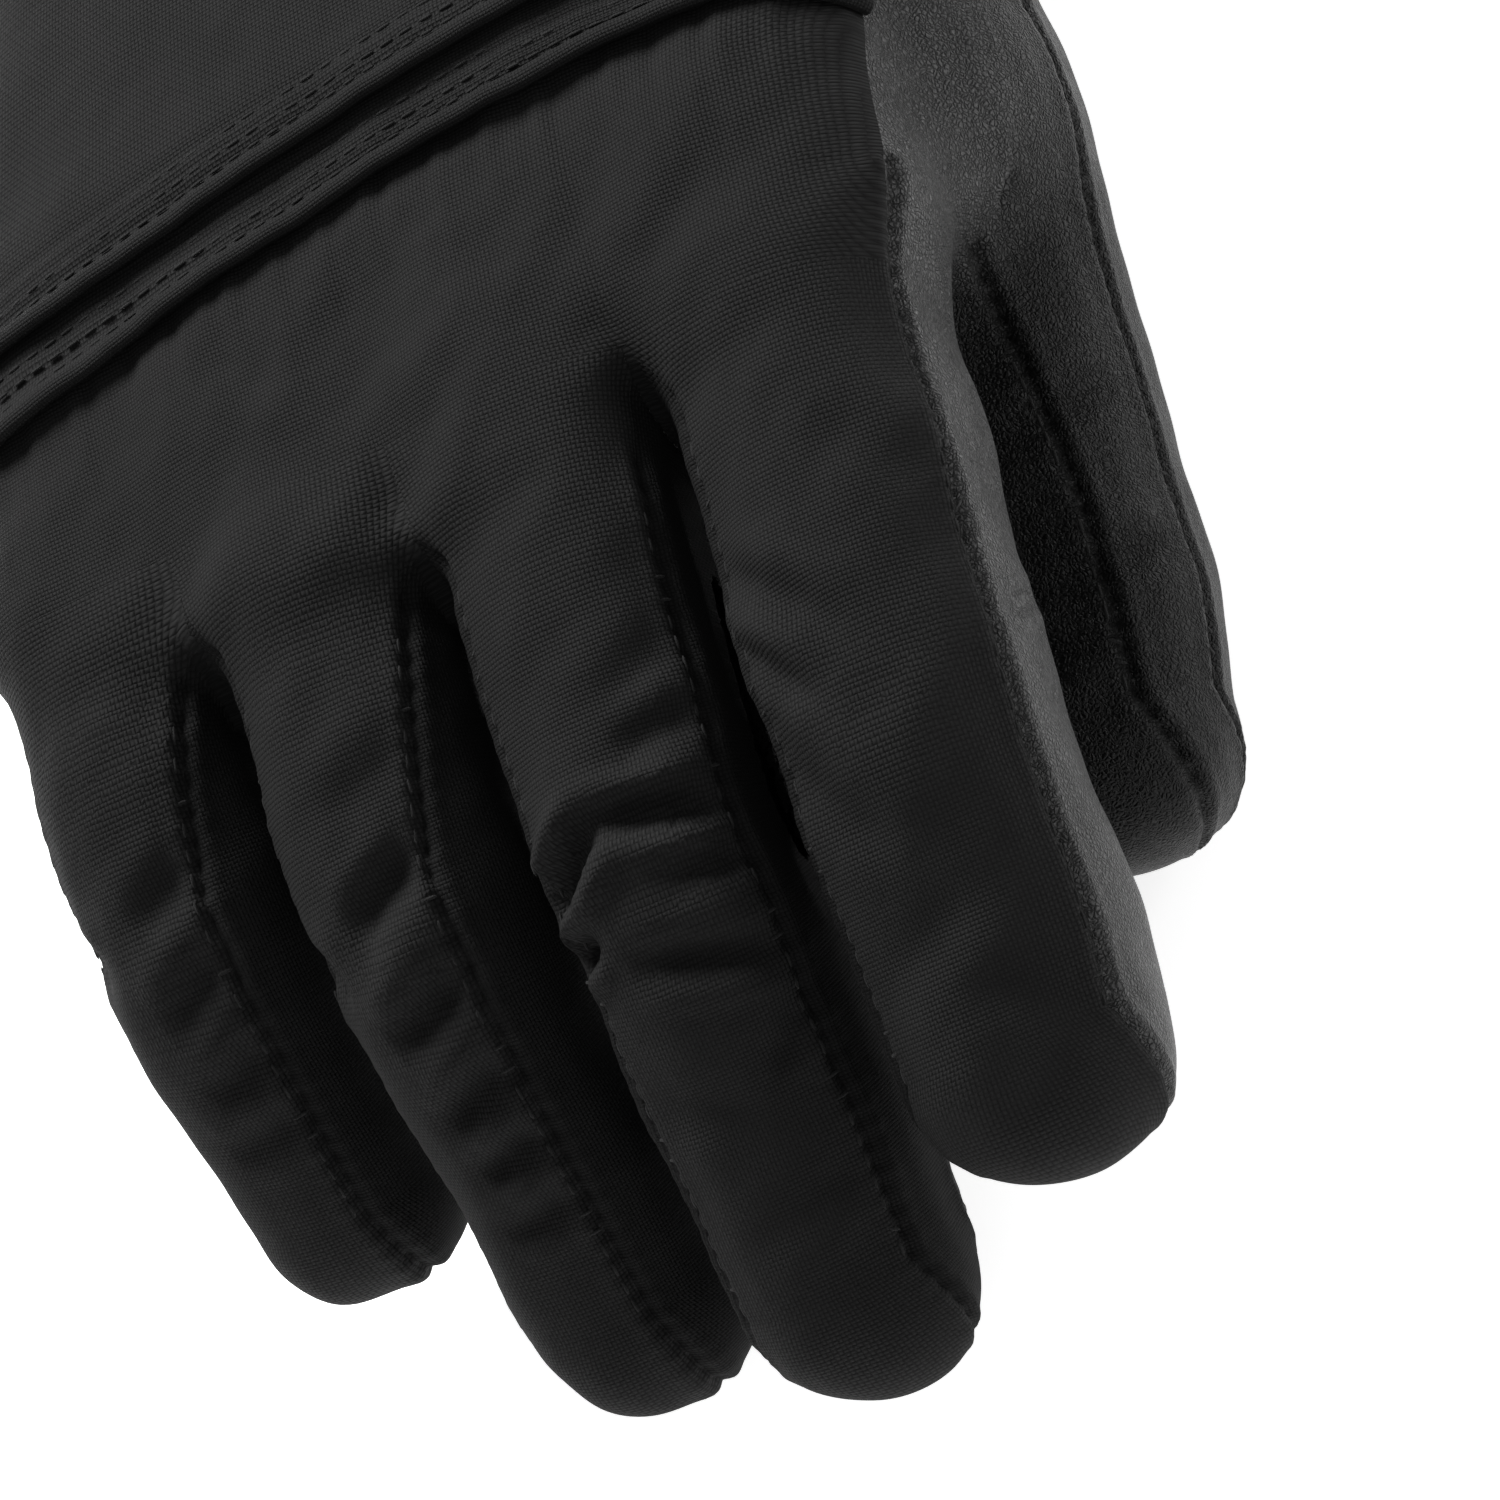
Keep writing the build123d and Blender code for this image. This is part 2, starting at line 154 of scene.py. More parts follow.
class Digit:
    """A digit as a bent tube: its middle line lies in an upright plane and sways a little in x."""

    STEP = 0.8
    SOFTEN = 6.0  # how far a bend of the middle line is rounded

    def __init__(self, name, rows, cap, power, seams):
        self.name, self.cap, self.power = name, cap, power
        rows = np.array(rows, float)
        runs = np.linalg.norm(np.diff(rows[:, 1:3], axis=0), axis=1)
        length = np.r_[0, np.cumsum(runs)]
        s = np.arange(0, length[-1] + self.STEP / 2, self.STEP)
        table = np.stack([np.interp(s, length, rows[:, i]) for i in range(5)], 1)
        reach = int(3 * self.SOFTEN / self.STEP)
        weights = np.exp(-0.5 * (np.arange(-reach, reach + 1) * self.STEP / self.SOFTEN) ** 2)
        weights /= weights.sum()
        wide = np.concatenate(
            [2 * table[0] - table[reach:0:-1], table, 2 * table[-1] - table[-2 : -reach - 2 : -1]]
        )
        table = np.stack([np.convolve(wide[:, i], weights, "valid") for i in range(5)], 1)
        self.x, self.half_width, self.half_height = table[:, 0], table[:, 3], table[:, 4]
        self.yz = table[:, 1:3]
        self.s = np.r_[0, np.cumsum(np.linalg.norm(np.diff(self.yz, axis=0), axis=1))]
        tangent = np.gradient(self.yz, axis=0)
        self.tangent = tangent / np.linalg.norm(tangent, axis=1)[:, None]
        self.normal = np.stack([self.tangent[:, 1], -self.tangent[:, 0]], 1)
        base = "thumb_base_spread" if name == "thumb" else f"{name}_base_bend"
        middle = "thumb_middle_spread" if name == "thumb" else f"{name}_middle_bend"
        self.base, self.middle = PIVOT[base], PIVOT[middle]
        self.s_base = self.coords(self.base[1:2], self.base[2:3])[0][0]
        self.s_middle = self.coords(self.middle[1:2], self.middle[2:3])[0][0]
        # Seams: distance past the base hinge, then degrees round from the back of the digit.
        self.seams = {
            side: (np.array([k[0] for k in keys]) + self.s_base, [math.radians(k[1]) for k in keys])
            for side, keys in seams.items()
        }

    def coords(self, y, z):
        """Distance along the middle line, height above it, and how far past its end."""
        y, z = np.broadcast_arrays(y, z)
        q = np.stack([y.ravel(), z.ravel()], 1).astype(float)
        s, n, over = (np.empty(len(q)) for _ in range(3))
        flat_square = (self.yz**2).sum(1).astype(np.float32)
        twice = 2 * self.yz.T.astype(np.float32)
        for i in range(0, len(q), 60000):
            c = slice(i, i + 60000)
            near = (flat_square - (q[c].astype(np.float32) @ twice)).argmin(1)
            rel = q[c] - self.yz[near]
            along = (rel * self.tangent[near]).sum(1)
            n[c] = (rel * self.normal[near]).sum(1)
            last = near == len(self.s) - 1
            first = near == 0
            over[c] = np.where(last, np.maximum(along, 0), np.where(first, np.minimum(along, 0), 0))
            s[c] = self.s[near] + np.where(
                last, np.minimum(along, 0), np.where(first, 0, np.clip(along, -0.6, 0.6))
            )
        return s.reshape(y.shape), n.reshape(y.shape), over.reshape(y.shape)

    def parts(self, x, y, z):
        s, n, over = self.coords(y, z)
        dx = (x - np.interp(s, self.s, self.x)) / np.interp(s, self.s, self.half_width)
        dn = n / np.interp(s, self.s, self.half_height)
        return s, dx, dn, over

    def field(self, x, y, z):
        s, dx, dn, over = self.parts(x, y, z)
        p = self.power
        r = (np.abs(dx) ** p + np.abs(dn) ** p + np.abs(over / self.cap) ** p) ** (1 / p)
        return (r - 1) * np.interp(s, self.s, self.half_height)

    def angle(self, x, y, z):
        """Distance along, and the angle round from the back, towards the thumb's side."""
        s, dx, dn, over = self.parts(x, y, z)
        return s, np.arctan2(dx, dn + 0.9 * np.maximum(over, 0) / self.cap), over

    def seam(self, side, s):
        return np.interp(s, *self.seams[side])

    def radius(self, s):
        return (
            np.interp(s, self.s, self.half_width) + np.interp(s, self.s, self.half_height)
        ) / 2

    def point(self, s, angle):
        """A point of the tube's surface."""
        half_w = np.interp(s, self.s, self.half_width)
        half_h = np.interp(s, self.s, self.half_height)
        sx, cx = np.sin(angle), np.cos(angle)
        r = round_off(cx, sx, self.power)
        i = np.clip(np.searchsorted(self.s, s), 0, len(self.s) - 1)
        up = (cx * r * half_h)[:, None] * self.normal[i]
        return np.c_[self.x[i] + sx * r * half_w, self.yz[i] + up]


def finger(name, sway, widths, tip, seams, power=2.35):
    """A finger through its two hinges to its tip; sway is its sideways offset at four places."""
    base, middle = (PIVOT[f"{name}_{k}_bend"] for k in ("base", "middle"))
    half_w, half_h = widths
    end = np.array([base[0], CROTCH + tip[0], tip[1]])
    back = base + np.array([0, 34, 1.0])
    rows = [
        (base[0] + sway[0], *back[1:], half_w - 0.4, half_h - 1),
        (base[0] + sway[1], *base[1:], half_w, half_h),
        (base[0] + sway[2], *middle[1:], half_w, half_h),
        (base[0] + sway[3], *end[1:], half_w - 0.9, half_h - 1.2),
    ]
    return Digit(name, rows, half_h + 0.4, power, seams)


FINGERS = [
    finger("index", (-1, 0.5, 0.8, 0.0), (15.1, 15.0), (-73, 37),
           {"right": [(-20, 62), (0, 60), (45, 57), (70, 52)],
            "left": [(-6, -50), (10, -54), (70, -56)], "palm_left": [(0, -112), (70, -112)]}),
    finger("middle", (0, 0, 0.3, -1.0), (13.8, 14.6), (-81, 21.5),
           {"right": [(-8, 54), (10, 52), (70, 46)], "left": [(-8, -52), (10, -54), (70, -52)],
            "palm_right": [(0, 112), (70, 112)], "palm_left": [(0, -112), (70, -112)]}),
    finger("ring", (0, 0, 0.2, 0.3), (13.6, 14.4), (-70, 15.6),
           {"right": [(-8, 54), (8, 34), (22, 20), (70, 18)],
            "left": [(-8, -50), (15, -70), (70, -78)],
            "palm_right": [(0, 104), (70, 100)], "palm_left": [(0, -116), (70, -120)]}),
    finger("pinky", (0, 0, 0.2, 0.0), (13.2, 13.4), (-49, 21),
           {"right": [(-8, 50), (6, 30), (16, 20), (60, 18)],
            "left": [(-8, -66), (15, -78), (60, -82)],
            "palm_right": [(0, 104), (60, 100)], "palm_left": [(0, -120), (60, -122)]}),
]


def make_thumb():
    base, middle = PIVOT["thumb_base_spread"], PIVOT["thumb_middle_spread"]
    run = (middle - base) / np.linalg.norm((middle - base)[1:])
    end = base + run * 38
    rows = [
        (base[0] - 10, base[1] + 58, base[2] + 25, 22.5, 17),
        (base[0] - 1.5, base[1] + 28, base[2] + 14.5, 21.5, 16),
        (base[0] + 0.4, *base[1:], 16.2, 15),
        (middle[0] + 0.4, *middle[1:], 15.6, 14.6),
        (end[0] - 0.6, *end[1:], 14.6, 13.8),
    ]
    return Digit("thumb", rows, 14.6, 2.3,
                 {"right": [(-60, 70), (0, 76), (60, 80)],
                  "left": [(-60, 14), (-5, 24), (15, 30), (60, 34)],
                  "under": [(-60, -140), (60, -140)]})


THUMB = make_thumb()
FAR = 9e3
MIDPLANES = [FAR] + [  # x of the planes between neighbouring fingers
    (a.base[0] - a.half_width.max() + b.base[0] + b.half_width.max()) / 2
    for a, b in zip(FINGERS[:-1], FINGERS[1:])
] + [-FAR]
THUMB_SPLIT = THUMB.s_base - 6  # where the thumb's own skin starts
SPLIT_Y = CROTCH + 0.5  # where the fingers' skins meet the hand's
SIDE_GAP = 0.7  # from the middle of a digit's side wall to the plane half way to the next


def glove_field(x, y, z, thumb=True, fingers=FINGERS):
    """The whole glove: hand, fingers and thumb joined with rounded crotches."""
    f = fingers[0].field(x, y, z)
    for d in fingers[1:]:
        f = np.minimum(f, d.field(x, y, z))
    f = smin(hand_field(x, y, z), f, 7.0)
    if thumb:
        f = join_thumb(f, x, y, z)
    return f


def join_thumb(f, x, y, z):
    s = THUMB.coords(y, z)[0]
    k = 12 - 11.4 * smooth_step(THUMB_SPLIT - 16, THUMB_SPLIT, s)
    return smin(f, THUMB.field(x, y, z), k)


# ---------------------------------------------------------------- folds, seams and puckers


class Fold:
    """A crease on a digit: a soft line between two points, each (s, degrees round)."""

    def __init__(self, start, end, width, depth):
        self.start, self.end, self.width, self.depth = start, end, width, depth

    def value(self, s, t, radius):
        ax, ay = self.start[0], math.radians(self.start[1]) * radius
        bx, by = self.end[0], math.radians(self.end[1]) * radius
        dx, dy = bx - ax, by - ay
        run = dx * dx + dy * dy
        u = ((s - ax) * dx + (t - ay) * dy) / run
        inside = np.clip(u, 0, 1)
        gap2 = (s - ax - inside * dx) ** 2 + (t - ay - inside * dy) ** 2
        taper = np.clip(1.15 - (2 * inside - 1) ** 2, 0, 1)
        gap = gap2 / self.width**2
        # The cloth rises in a low ridge on both sides.
        ridge = 0.38 * bell(np.sqrt(gap) - 2.1, 1)
        return -1.35 * self.depth * taper * (np.exp(-gap) - ridge)


FOLDS = {  # distance past the base hinge and degrees round, start and end; width; depth
    "index": [
        Fold((14, -52), (26, 0), 2.0, 0.75), Fold((33, -52), (46, -8), 2.4, 0.65),
        Fold((22, -54), (31, -20), 1.5, 0.6),
        Fold((4, 10), (14, 48), 2.6, 0.4), Fold((50, 20), (58, -40), 3.0, 0.35),
        Fold((60, -10), (66, 40), 2.2, 0.25), Fold((28, 62), (24, 110), 1.1, 0.5),
    ],
    "middle": [
        Fold((33, -54), (28, -12), 1.35, 2.2), Fold((28, -16), (29.5, 42), 1.3, 1.7),
        Fold((38, -60), (36, -34), 1.2, 1.9), Fold((39, -22), (42, 46), 1.6, 1.3),
        Fold((23, 6), (21, 50), 1.8, 0.8), Fold((33.5, 10), (34, 50), 1.1, 0.8),
        Fold((12, 45), (20, 5), 2.4, 0.45), Fold((52, -45), (58, 10), 2.6, 0.45),
        Fold((47, 48), (54, 20), 1.6, 0.6), Fold((66, 40), (70, -20), 2.2, 0.3),
    ],
    "ring": [
        Fold((20, 18), (25, -28), 1.7, 1.2), Fold((30, 18), (34, -30), 1.7, 1.45),
        Fold((38, 16), (43, -24), 1.6, 1.2), Fold((46, 16), (50, -22), 1.6, 1.05),
        Fold((54, 15), (57, -26), 1.6, 0.6), Fold((25, -72), (29, -44), 1.8, 0.9),
        Fold((10, 30), (14, -20), 2.2, 0.4),
    ],
    "pinky": [
        Fold((12, 20), (16, -20), 2.0, 0.7), Fold((20, 20), (25, -24), 1.8, 0.9),
        Fold((28, 18), (32, -20), 1.8, 0.7), Fold((36, 18), (39, -30), 1.8, 0.5),
        Fold((16, -74), (19, -50), 1.8, 0.7),
    ],
    "thumb": [
        Fold((-22, 40), (-14, -10), 2.4, 1.2), Fold((-30, 20), (-20, -40), 2.6, 1.3),
        Fold((4, 60), (8, 0), 2.2, 0.5), Fold((22, 64), (25, 10), 2.0, 0.7),
        Fold((30, 20), (33, -50), 2.0, 0.5),
    ],
}
BACK_FOLDS = [  # on the back of the hand: (x, y past the crotch line) start and end; width; depth
    ((22, 2), (34, 16), 3.2, 0.7), ((18, 3), (8, 14), 3.0, 0.6), ((-7, -6), (6, 6), 3.0, 0.7),
    ((-9, -5), (-20, 6), 3.0, 0.6), ((-34, -4), (-22, 7), 3.0, 0.55),
    ((24, 20), (34, 26), 3.4, 0.4), ((-3, 12), (-6, 22), 3.2, 0.35),
    ((12, 15), (9, 25), 2.6, 0.3), ((-20, 14), (-25, 22), 2.6, 0.3),
]
LUMPS = [  # softness everywhere: wave vectors per mm, phase, height
    ((0.20, 0.11, 0.05), 0.3, 0.16), ((-0.13, 0.23, 0.10), 1.7, 0.16),
    ((0.31, -0.17, 0.21), 4.1, 0.08), ((0.05, 0.37, -0.29), 2.2, 0.08),
    ((-0.43, 0.29, 0.13), 5.0, 0.05), ((0.61, 0.33, -0.27), 0.9, 0.035),
    ((-0.37, 0.67, 0.41), 3.3, 0.03), ((0.83, -0.61, 0.37), 2.7, 0.02),
]
STITCH = 2.5  # pitch of the stitches
HEM_ROWS = (2.6, 4.3, 6.3)  # the hems' rows of stitches, from the rolled edge


def groove(distance, along):
    """A sewn seam: a groove, tighter at each stitch, and the cloth rolled up beside it."""
    pull = 0.78 + 0.22 * np.cos(2 * np.pi * along / STITCH)
    ridge = bell(np.abs(distance) - 1.5, 1.1)
    return -0.85 * pull * bell(distance, 0.62) + 0.22 * (2 - pull) * ridge - 0.1


def lumps(p):
    total = np.zeros(len(p))
    for wave, phase, height in LUMPS:
        total += 1.5 * height * np.sin(p @ np.array(wave) + phase)
    return total


def digit_relief(d, p):
    """How far the surface stands out at points on a digit's own skin."""
    s, angle, over = d.angle(*p.T)
    radius = d.radius(s)
    along = s + np.maximum(over, 0) - d.s_base
    total = np.zeros(len(p))
    for side in d.seams:
        away = np.angle(np.exp(1j * (angle - d.seam(side, s)))) * radius
        start = -3 if d.name != "thumb" else -40
        if side == "right" and d.name == "index":
            start = -60
        total += groove(away, along) * smooth_step(start - 6, start, along)
    for fold in FOLDS[d.name]:
        total += fold.value(along, angle * radius, radius)
    return total


def back_relief(p):
    """Folds on the back of the hand and the crotches' pull."""
    x, y = p[:, 0] - HAND_X, p[:, 1] - CROTCH
    up = smooth_step(52, 62, p[:, 2])
    total = np.zeros(len(p))
    for start, end, width, depth in BACK_FOLDS:
        dx, dy = end[0] - start[0], end[1] - start[1]
        u = ((x - start[0]) * dx + (y - start[1]) * dy) / (dx * dx + dy * dy)
        c = np.clip(u, 0, 1)
        gap2 = ((x - start[0] - c * dx) ** 2 + (y - start[1] - c * dy) ** 2) / width**2
        fade = np.clip(1.0 - 0.75 * c, 0, 1)
        total -= depth * fade * (np.exp(-gap2) - 0.35 * bell(np.sqrt(gap2) - 2, 1))
    # Gathers that run out of the lower hem.
    hem = hem_line(x)
    below = hem - y
    gather = 0.16 * np.sin(x * 1.15 + 0.8 * np.sin(x * 0.31)) + 0.1 * np.sin(x * 2.1 + 1.3)
    total += gather * np.exp(-np.maximum(below, 0) / 7.0) * smooth_step(-4, 1, below)
    return total * up


def relief(p):
    """The same function everywhere, so that skins made apart still meet."""
    total = lumps(p)
    owner = owner_of(p)
    for i, d in enumerate(FINGERS):
        m = owner == i
        if m.any():
            # Off the hand's own surface the digit's seams and folds take over.
            share = smooth_step(0.5, 3.0, hand_field(*p[m].T))
            if i == 0:
                share = np.maximum(share, smooth_step(46, 49, p[m][:, 0]))
            total[m] += digit_relief(d, p[m]) * share
    m = owner == 4
    if m.any():
        total[m] += digit_relief(THUMB, p[m])
    total += back_relief(p)
    # The web between two fingers is pulled down into the crotch.
    for mid, (cx, cy) in zip(MIDPLANES[1:-1], [(20, -3.5), (-7, -13), (-34, -12)]):
        pull = bell(p[:, 0] - mid, 2.6) * bell(p[:, 1] - (CROTCH + cy), 3.0)
        total -= 1.3 * pull * smooth_step(50, 60, p[:, 2])
    return total


def owner_of(p):
    """0 to 3 for the fingers, 4 for the thumb, 5 for the hand."""
    owner = np.full(len(p), 5)
    thumb = THUMB.field(*p.T)
    ahead = p[:, 1] < CROTCH + 12
    best = np.full(len(p), 1e9)
    for i, d in enumerate(FINGERS):
        inside = ahead & (p[:, 0] < MIDPLANES[i]) & (p[:, 0] >= MIDPLANES[i + 1])
        owner[inside] = i
        best[inside] = d.field(*p[inside].T)
    owner[thumb < np.minimum(best, hand_field(*p.T))] = 4
    return owner


def hem_line(x):
    """Edge of the lower hem across the back, from the crotch line."""
    return np.interp(x, [-62, -45, -27, 0, 25, 40, 52], [20, 23.5, 26.3, 31, 34, 33.8, 30.5])


# ---------------------------------------------------------------- meshing


def surface_nets(values, low, cell):
    """Vertices in the cells that the zero surface crosses, and quads round crossed grid edges."""
    cells = np.array(values.shape) - 1
    total = np.zeros((4, cells.prod()))
    quads = []
    for axis in range(3):
        a = np.moveaxis(values, axis, 0)
        first, second = a[:-1], a[1:]
        hit = (first < 0) != (second < 0)
        i, j, k = np.nonzero(hit)
        v0, v1 = first[i, j, k], second[i, j, k]
        where = np.stack([i + v0 / (v0 - v1), j, k], 1)
        inner = (j > 0) & (k > 0) & (j < hit.shape[1] - 1) & (k < hit.shape[2] - 1)
        order = {0: (0, 1, 2), 1: (1, 0, 2), 2: (2, 0, 1)}[axis]
        back = np.argsort(order)
        ring = []
        for dj, dk in ((-1, -1), (0, -1), (0, 0), (-1, 0)):
            place = np.stack([i, j + dj, k + dk], 1)[:, back]
            good = ((place >= 0) & (place < cells)).all(1)
            flat = place[:, 0] * cells[1] * cells[2] + place[:, 1] * cells[2] + place[:, 2]
            ring.append(flat)
            at = where[good][:, back]
            for c in range(3):
                total[c] += np.bincount(flat[good], at[:, c], minlength=cells.prod())
            total[3] += np.bincount(flat[good], minlength=cells.prod())
        quad = np.stack(ring, 1)[inner]
        flip = (v0[inner] > 0) ^ (axis == 1)
        quad[flip] = quad[flip][:, ::-1]
        quads.append(quad)
    used = np.nonzero(total[3])[0]
    index = np.full(cells.prod(), -1)
    index[used] = np.arange(len(used))
    verts = (total[:3, used] / total[3, used]).T * cell + low
    return verts, index[np.concatenate(quads)]


def gradient(field, p, here=None, h=0.02):
    here = field(*p.T) if here is None else here
    g = np.empty_like(p)
    for c in range(3):
        step = np.zeros(3)
        step[c] = h
        g[:, c] = (field(*(p + step).T) - here) / h
    return g


def project(field, p, rounds=2):
    for _ in range(rounds):
        here = field(*p.T)
        g = gradient(field, p, here)
        size = np.maximum((g * g).sum(1), 0.04)
        p = p - g * np.clip(here / size, -1.2, 1.2)[:, None]
    return p


def skin(field, low, high, cell=CELL):
    """A triangle mesh of the field's zero surface in a block."""
    axes = [np.arange(l, h + cell, cell) for l, h in zip(low, high)]
    x, y, z = np.ix_(*axes)
    values = field(x, y, z)
    verts, quads = surface_nets(values, np.array(low, float), cell)
    verts = project(field, verts)
    first = np.linalg.norm(verts[quads[:, 0]] - verts[quads[:, 2]], axis=1)
    second = np.linalg.norm(verts[quads[:, 1]] - verts[quads[:, 3]], axis=1)
    short = first <= second
    tris = np.concatenate([
        quads[short][:, [0, 1, 2]], quads[short][:, [0, 2, 3]],
        quads[~short][:, [0, 1, 3]], quads[~short][:, [1, 2, 3]],
    ])
    return verts, tris


def cut(verts, tris, values, snap=0.06):
    """Splits the triangles along the zero line of a value at each vertex."""
    spread = np.abs(values[tris]).max()
    near = np.abs(values) < snap * CELL * max(1e-9, min(spread, 1.0))
    values = np.where(near, 0.0, values)
    side = np.sign(values)
    s = side[tris]
    crossed = (s.min(1) < 0) & (s.max(1) > 0)
    keep, todo = tris[~crossed], tris[crossed]
    if not len(todo):
        return verts, tris
    # Turn each triangle so that its first corner is the one alone on its side, or on the line.
    s = side[todo]
    on_line = (s == 0).sum(1) == 1
    alone = np.where(on_line, (s == 0).argmax(1), (s == -np.sign(s.sum(1))[:, None]).argmax(1))
    todo = np.stack([todo[np.arange(len(todo)), (alone + i) % 3] for i in range(3)], 1)
    pairs = np.concatenate([
        np.sort(todo[~on_line][:, [0, 1]], 1), np.sort(todo[~on_line][:, [0, 2]], 1),
        np.sort(todo[on_line][:, [1, 2]], 1),
    ])
    unique, inverse = np.unique(pairs, axis=0, return_inverse=True)
    inverse = inverse.ravel() + len(verts)
    v0, v1 = values[unique[:, 0]], values[unique[:, 1]]
    t = (v0 / (v0 - v1))[:, None]
    fresh = verts[unique[:, 0]] * (1 - t) + verts[unique[:, 1]] * t
    n = (~on_line).sum()
    ab, ac, bc = inverse[:n], inverse[n : 2 * n], inverse[2 * n :]
    a, b, c = todo[~on_line].T
    a2, b2, c2 = todo[on_line].T
    made = [
        np.stack([a, ab, ac], 1), np.stack([ab, b, c], 1), np.stack([ab, c, ac], 1),
        np.stack([a2, b2, bc], 1), np.stack([a2, bc, c2], 1),
    ]
    return np.concatenate([verts, fresh]), np.concatenate([keep, *made])


def vertex_normals(verts, tris):
    a, b, c = (verts[tris[:, i]] for i in range(3))
    face = np.cross(b - a, c - a)
    out = np.zeros_like(verts)
    for i in range(3):
        for k in range(3):
            out[:, k] += np.bincount(tris[:, i], face[:, k], minlength=len(verts))
    return out / np.maximum(np.linalg.norm(out, axis=1), 1e-9)[:, None]


def raise_relief(field, verts, amount=relief):
    """The points moved out by the relief, and the surface's normals."""
    g = gradient(field, verts)
    g /= np.maximum(np.linalg.norm(g, axis=1), 1e-6)[:, None]
    return verts + g * amount(verts)[:, None], g


def link(name, verts, faces, uv=None, normals=None):
    """A Blender mesh object from millimetre arrays."""
    mesh = bpy.data.meshes.new(name)
    verts = np.asarray(verts, float)
    faces = np.asarray(faces)
    size = faces.shape[1]
    mesh.vertices.add(len(verts))
    mesh.vertices.foreach_set("co", (verts * MM).astype(np.float32).ravel())
    mesh.loops.add(faces.size)
    mesh.loops.foreach_set("vertex_index", faces.astype(np.int32).ravel())
    mesh.polygons.add(len(faces))
    mesh.polygons.foreach_set("loop_start", np.arange(0, faces.size, size, dtype=np.int32))
    mesh.polygons.foreach_set("use_smooth", np.full(len(faces), True))
    mesh.update(calc_edges=True)
    if uv is None:
        uv = verts[:, :2]
    layer = mesh.uv_layers.new(name="cloth")
    layer.data.foreach_set("uv", (uv[faces.ravel()] * 0.01).astype(np.float32).ravel())
    attribute = mesh.attributes.new("rest", "FLOAT_VECTOR", "POINT")
    attribute.data.foreach_set("vector", verts.astype(np.float32).ravel())
    if normals is not None:
        mesh.normals_split_custom_set_from_vertices([tuple(n) for n in normals])
    o = bpy.data.objects.new(name, mesh)
    bpy.context.scene.collection.objects.link(o)
    return o


def shell(name, verts, tris, normals, uv, wall=WALL):
    """A skin with a thickness: the outer faces, an inner copy and the rim between them."""
    used, index = np.unique(tris, return_inverse=True)
    tris = index.reshape(tris.shape)
    v, n, uv = verts[used], normals[used], uv[used]
    count = len(v)
    edges = np.concatenate([tris[:, [0, 1]], tris[:, [1, 2]], tris[:, [2, 0]]])
    key = np.sort(edges, 1)
    key = key[:, 0] * count + key[:, 1]
    _, first, times = np.unique(key, return_index=True, return_counts=True)
    rim = edges[first[times == 1]]
    faces = np.concatenate([
        tris, tris[:, ::-1] + count,
        np.stack([rim[:, 1], rim[:, 0], rim[:, 0] + count], 1),
        np.stack([rim[:, 1], rim[:, 0] + count, rim[:, 1] + count], 1),
    ])
    return link(
        name, np.concatenate([v, v - n * wall]), faces, np.concatenate([uv, uv]),
        normals=np.concatenate([n, -n]),
    )


# ---------------------------------------------------------------- materials


class Nodes:
    """Short calls for building a node material."""

    def __init__(self, name):
        self.material = bpy.data.materials.new(name)
        self.material.use_nodes = True
        self.tree = self.material.node_tree
        self.tree.nodes.clear()
        self.output = self.tree.nodes.new("ShaderNodeOutputMaterial")
        self.shader = self.tree.nodes.new("ShaderNodeBsdfPrincipled")
        self.tree.links.new(self.shader.outputs[0], self.output.inputs["Surface"])

    def new(self, kind, inputs=None, **settings):
        node = self.tree.nodes.new(kind)
        for key, value in settings.items():
            setattr(node, key, value)
        for key, value in (inputs or {}).items():
            self.put(node.inputs[key], value)
        return node

    def put(self, socket, value):
        if isinstance(value, bpy.types.NodeSocket):
            self.tree.links.new(value, socket)
        elif isinstance(value, bpy.types.Node):
            self.tree.links.new(value.outputs[0], socket)
        else:
            socket.default_value = value

    def math(self, operation, a, b=0.0):
        return self.new("ShaderNodeMath", {0: a, 1: b}, operation=operation)

    def add(self, a, b):
        return self.math("ADD", a, b)

    def sub(self, a, b):
        return self.math("SUBTRACT", a, b)

    def mul(self, a, b):
        return self.math("MULTIPLY", a, b)

    def mix(self, factor, a, b):
        node = self.new("ShaderNodeMix", data_type="RGBA")
        for socket, value in (("Factor_Float", factor), ("A_Color", a), ("B_Color", b)):
            self.put(next(i for i in node.inputs if i.identifier == socket), value)
        return next(o for o in node.outputs if o.identifier == "Result_Color")

    def rest(self):
        return self.new("ShaderNodeAttribute", attribute_name="rest").outputs["Vector"]

    def noise(self, scale, detail=3.0, vector=None):
        return self.new(
            "ShaderNodeTexNoise",
            {"Vector": vector or self.rest(), "Scale": scale, "Detail": detail, "Roughness": 0.55},
        ).outputs["Fac"]

    def bump(self, height, distance, strength=1.0, below=None):
        node = self.new("ShaderNodeBump",
                        {"Height": height, "Distance": distance, "Strength": strength})
        if below is not None:
            self.put(node.inputs["Normal"], below)
        return node.outputs["Normal"]

    def finish(self, **sockets):
        names = {"color": "Base Color", "rough": "Roughness", "normal": "Normal",
                 "specular": "Specular IOR Level", "sheen": "Sheen Weight",
                 "sheen_rough": "Sheen Roughness"}
        for key, value in sockets.items():
            self.put(self.shader.inputs[names[key]], value)
        return self.material


def grey(v):
    return (v, v, v, 1)


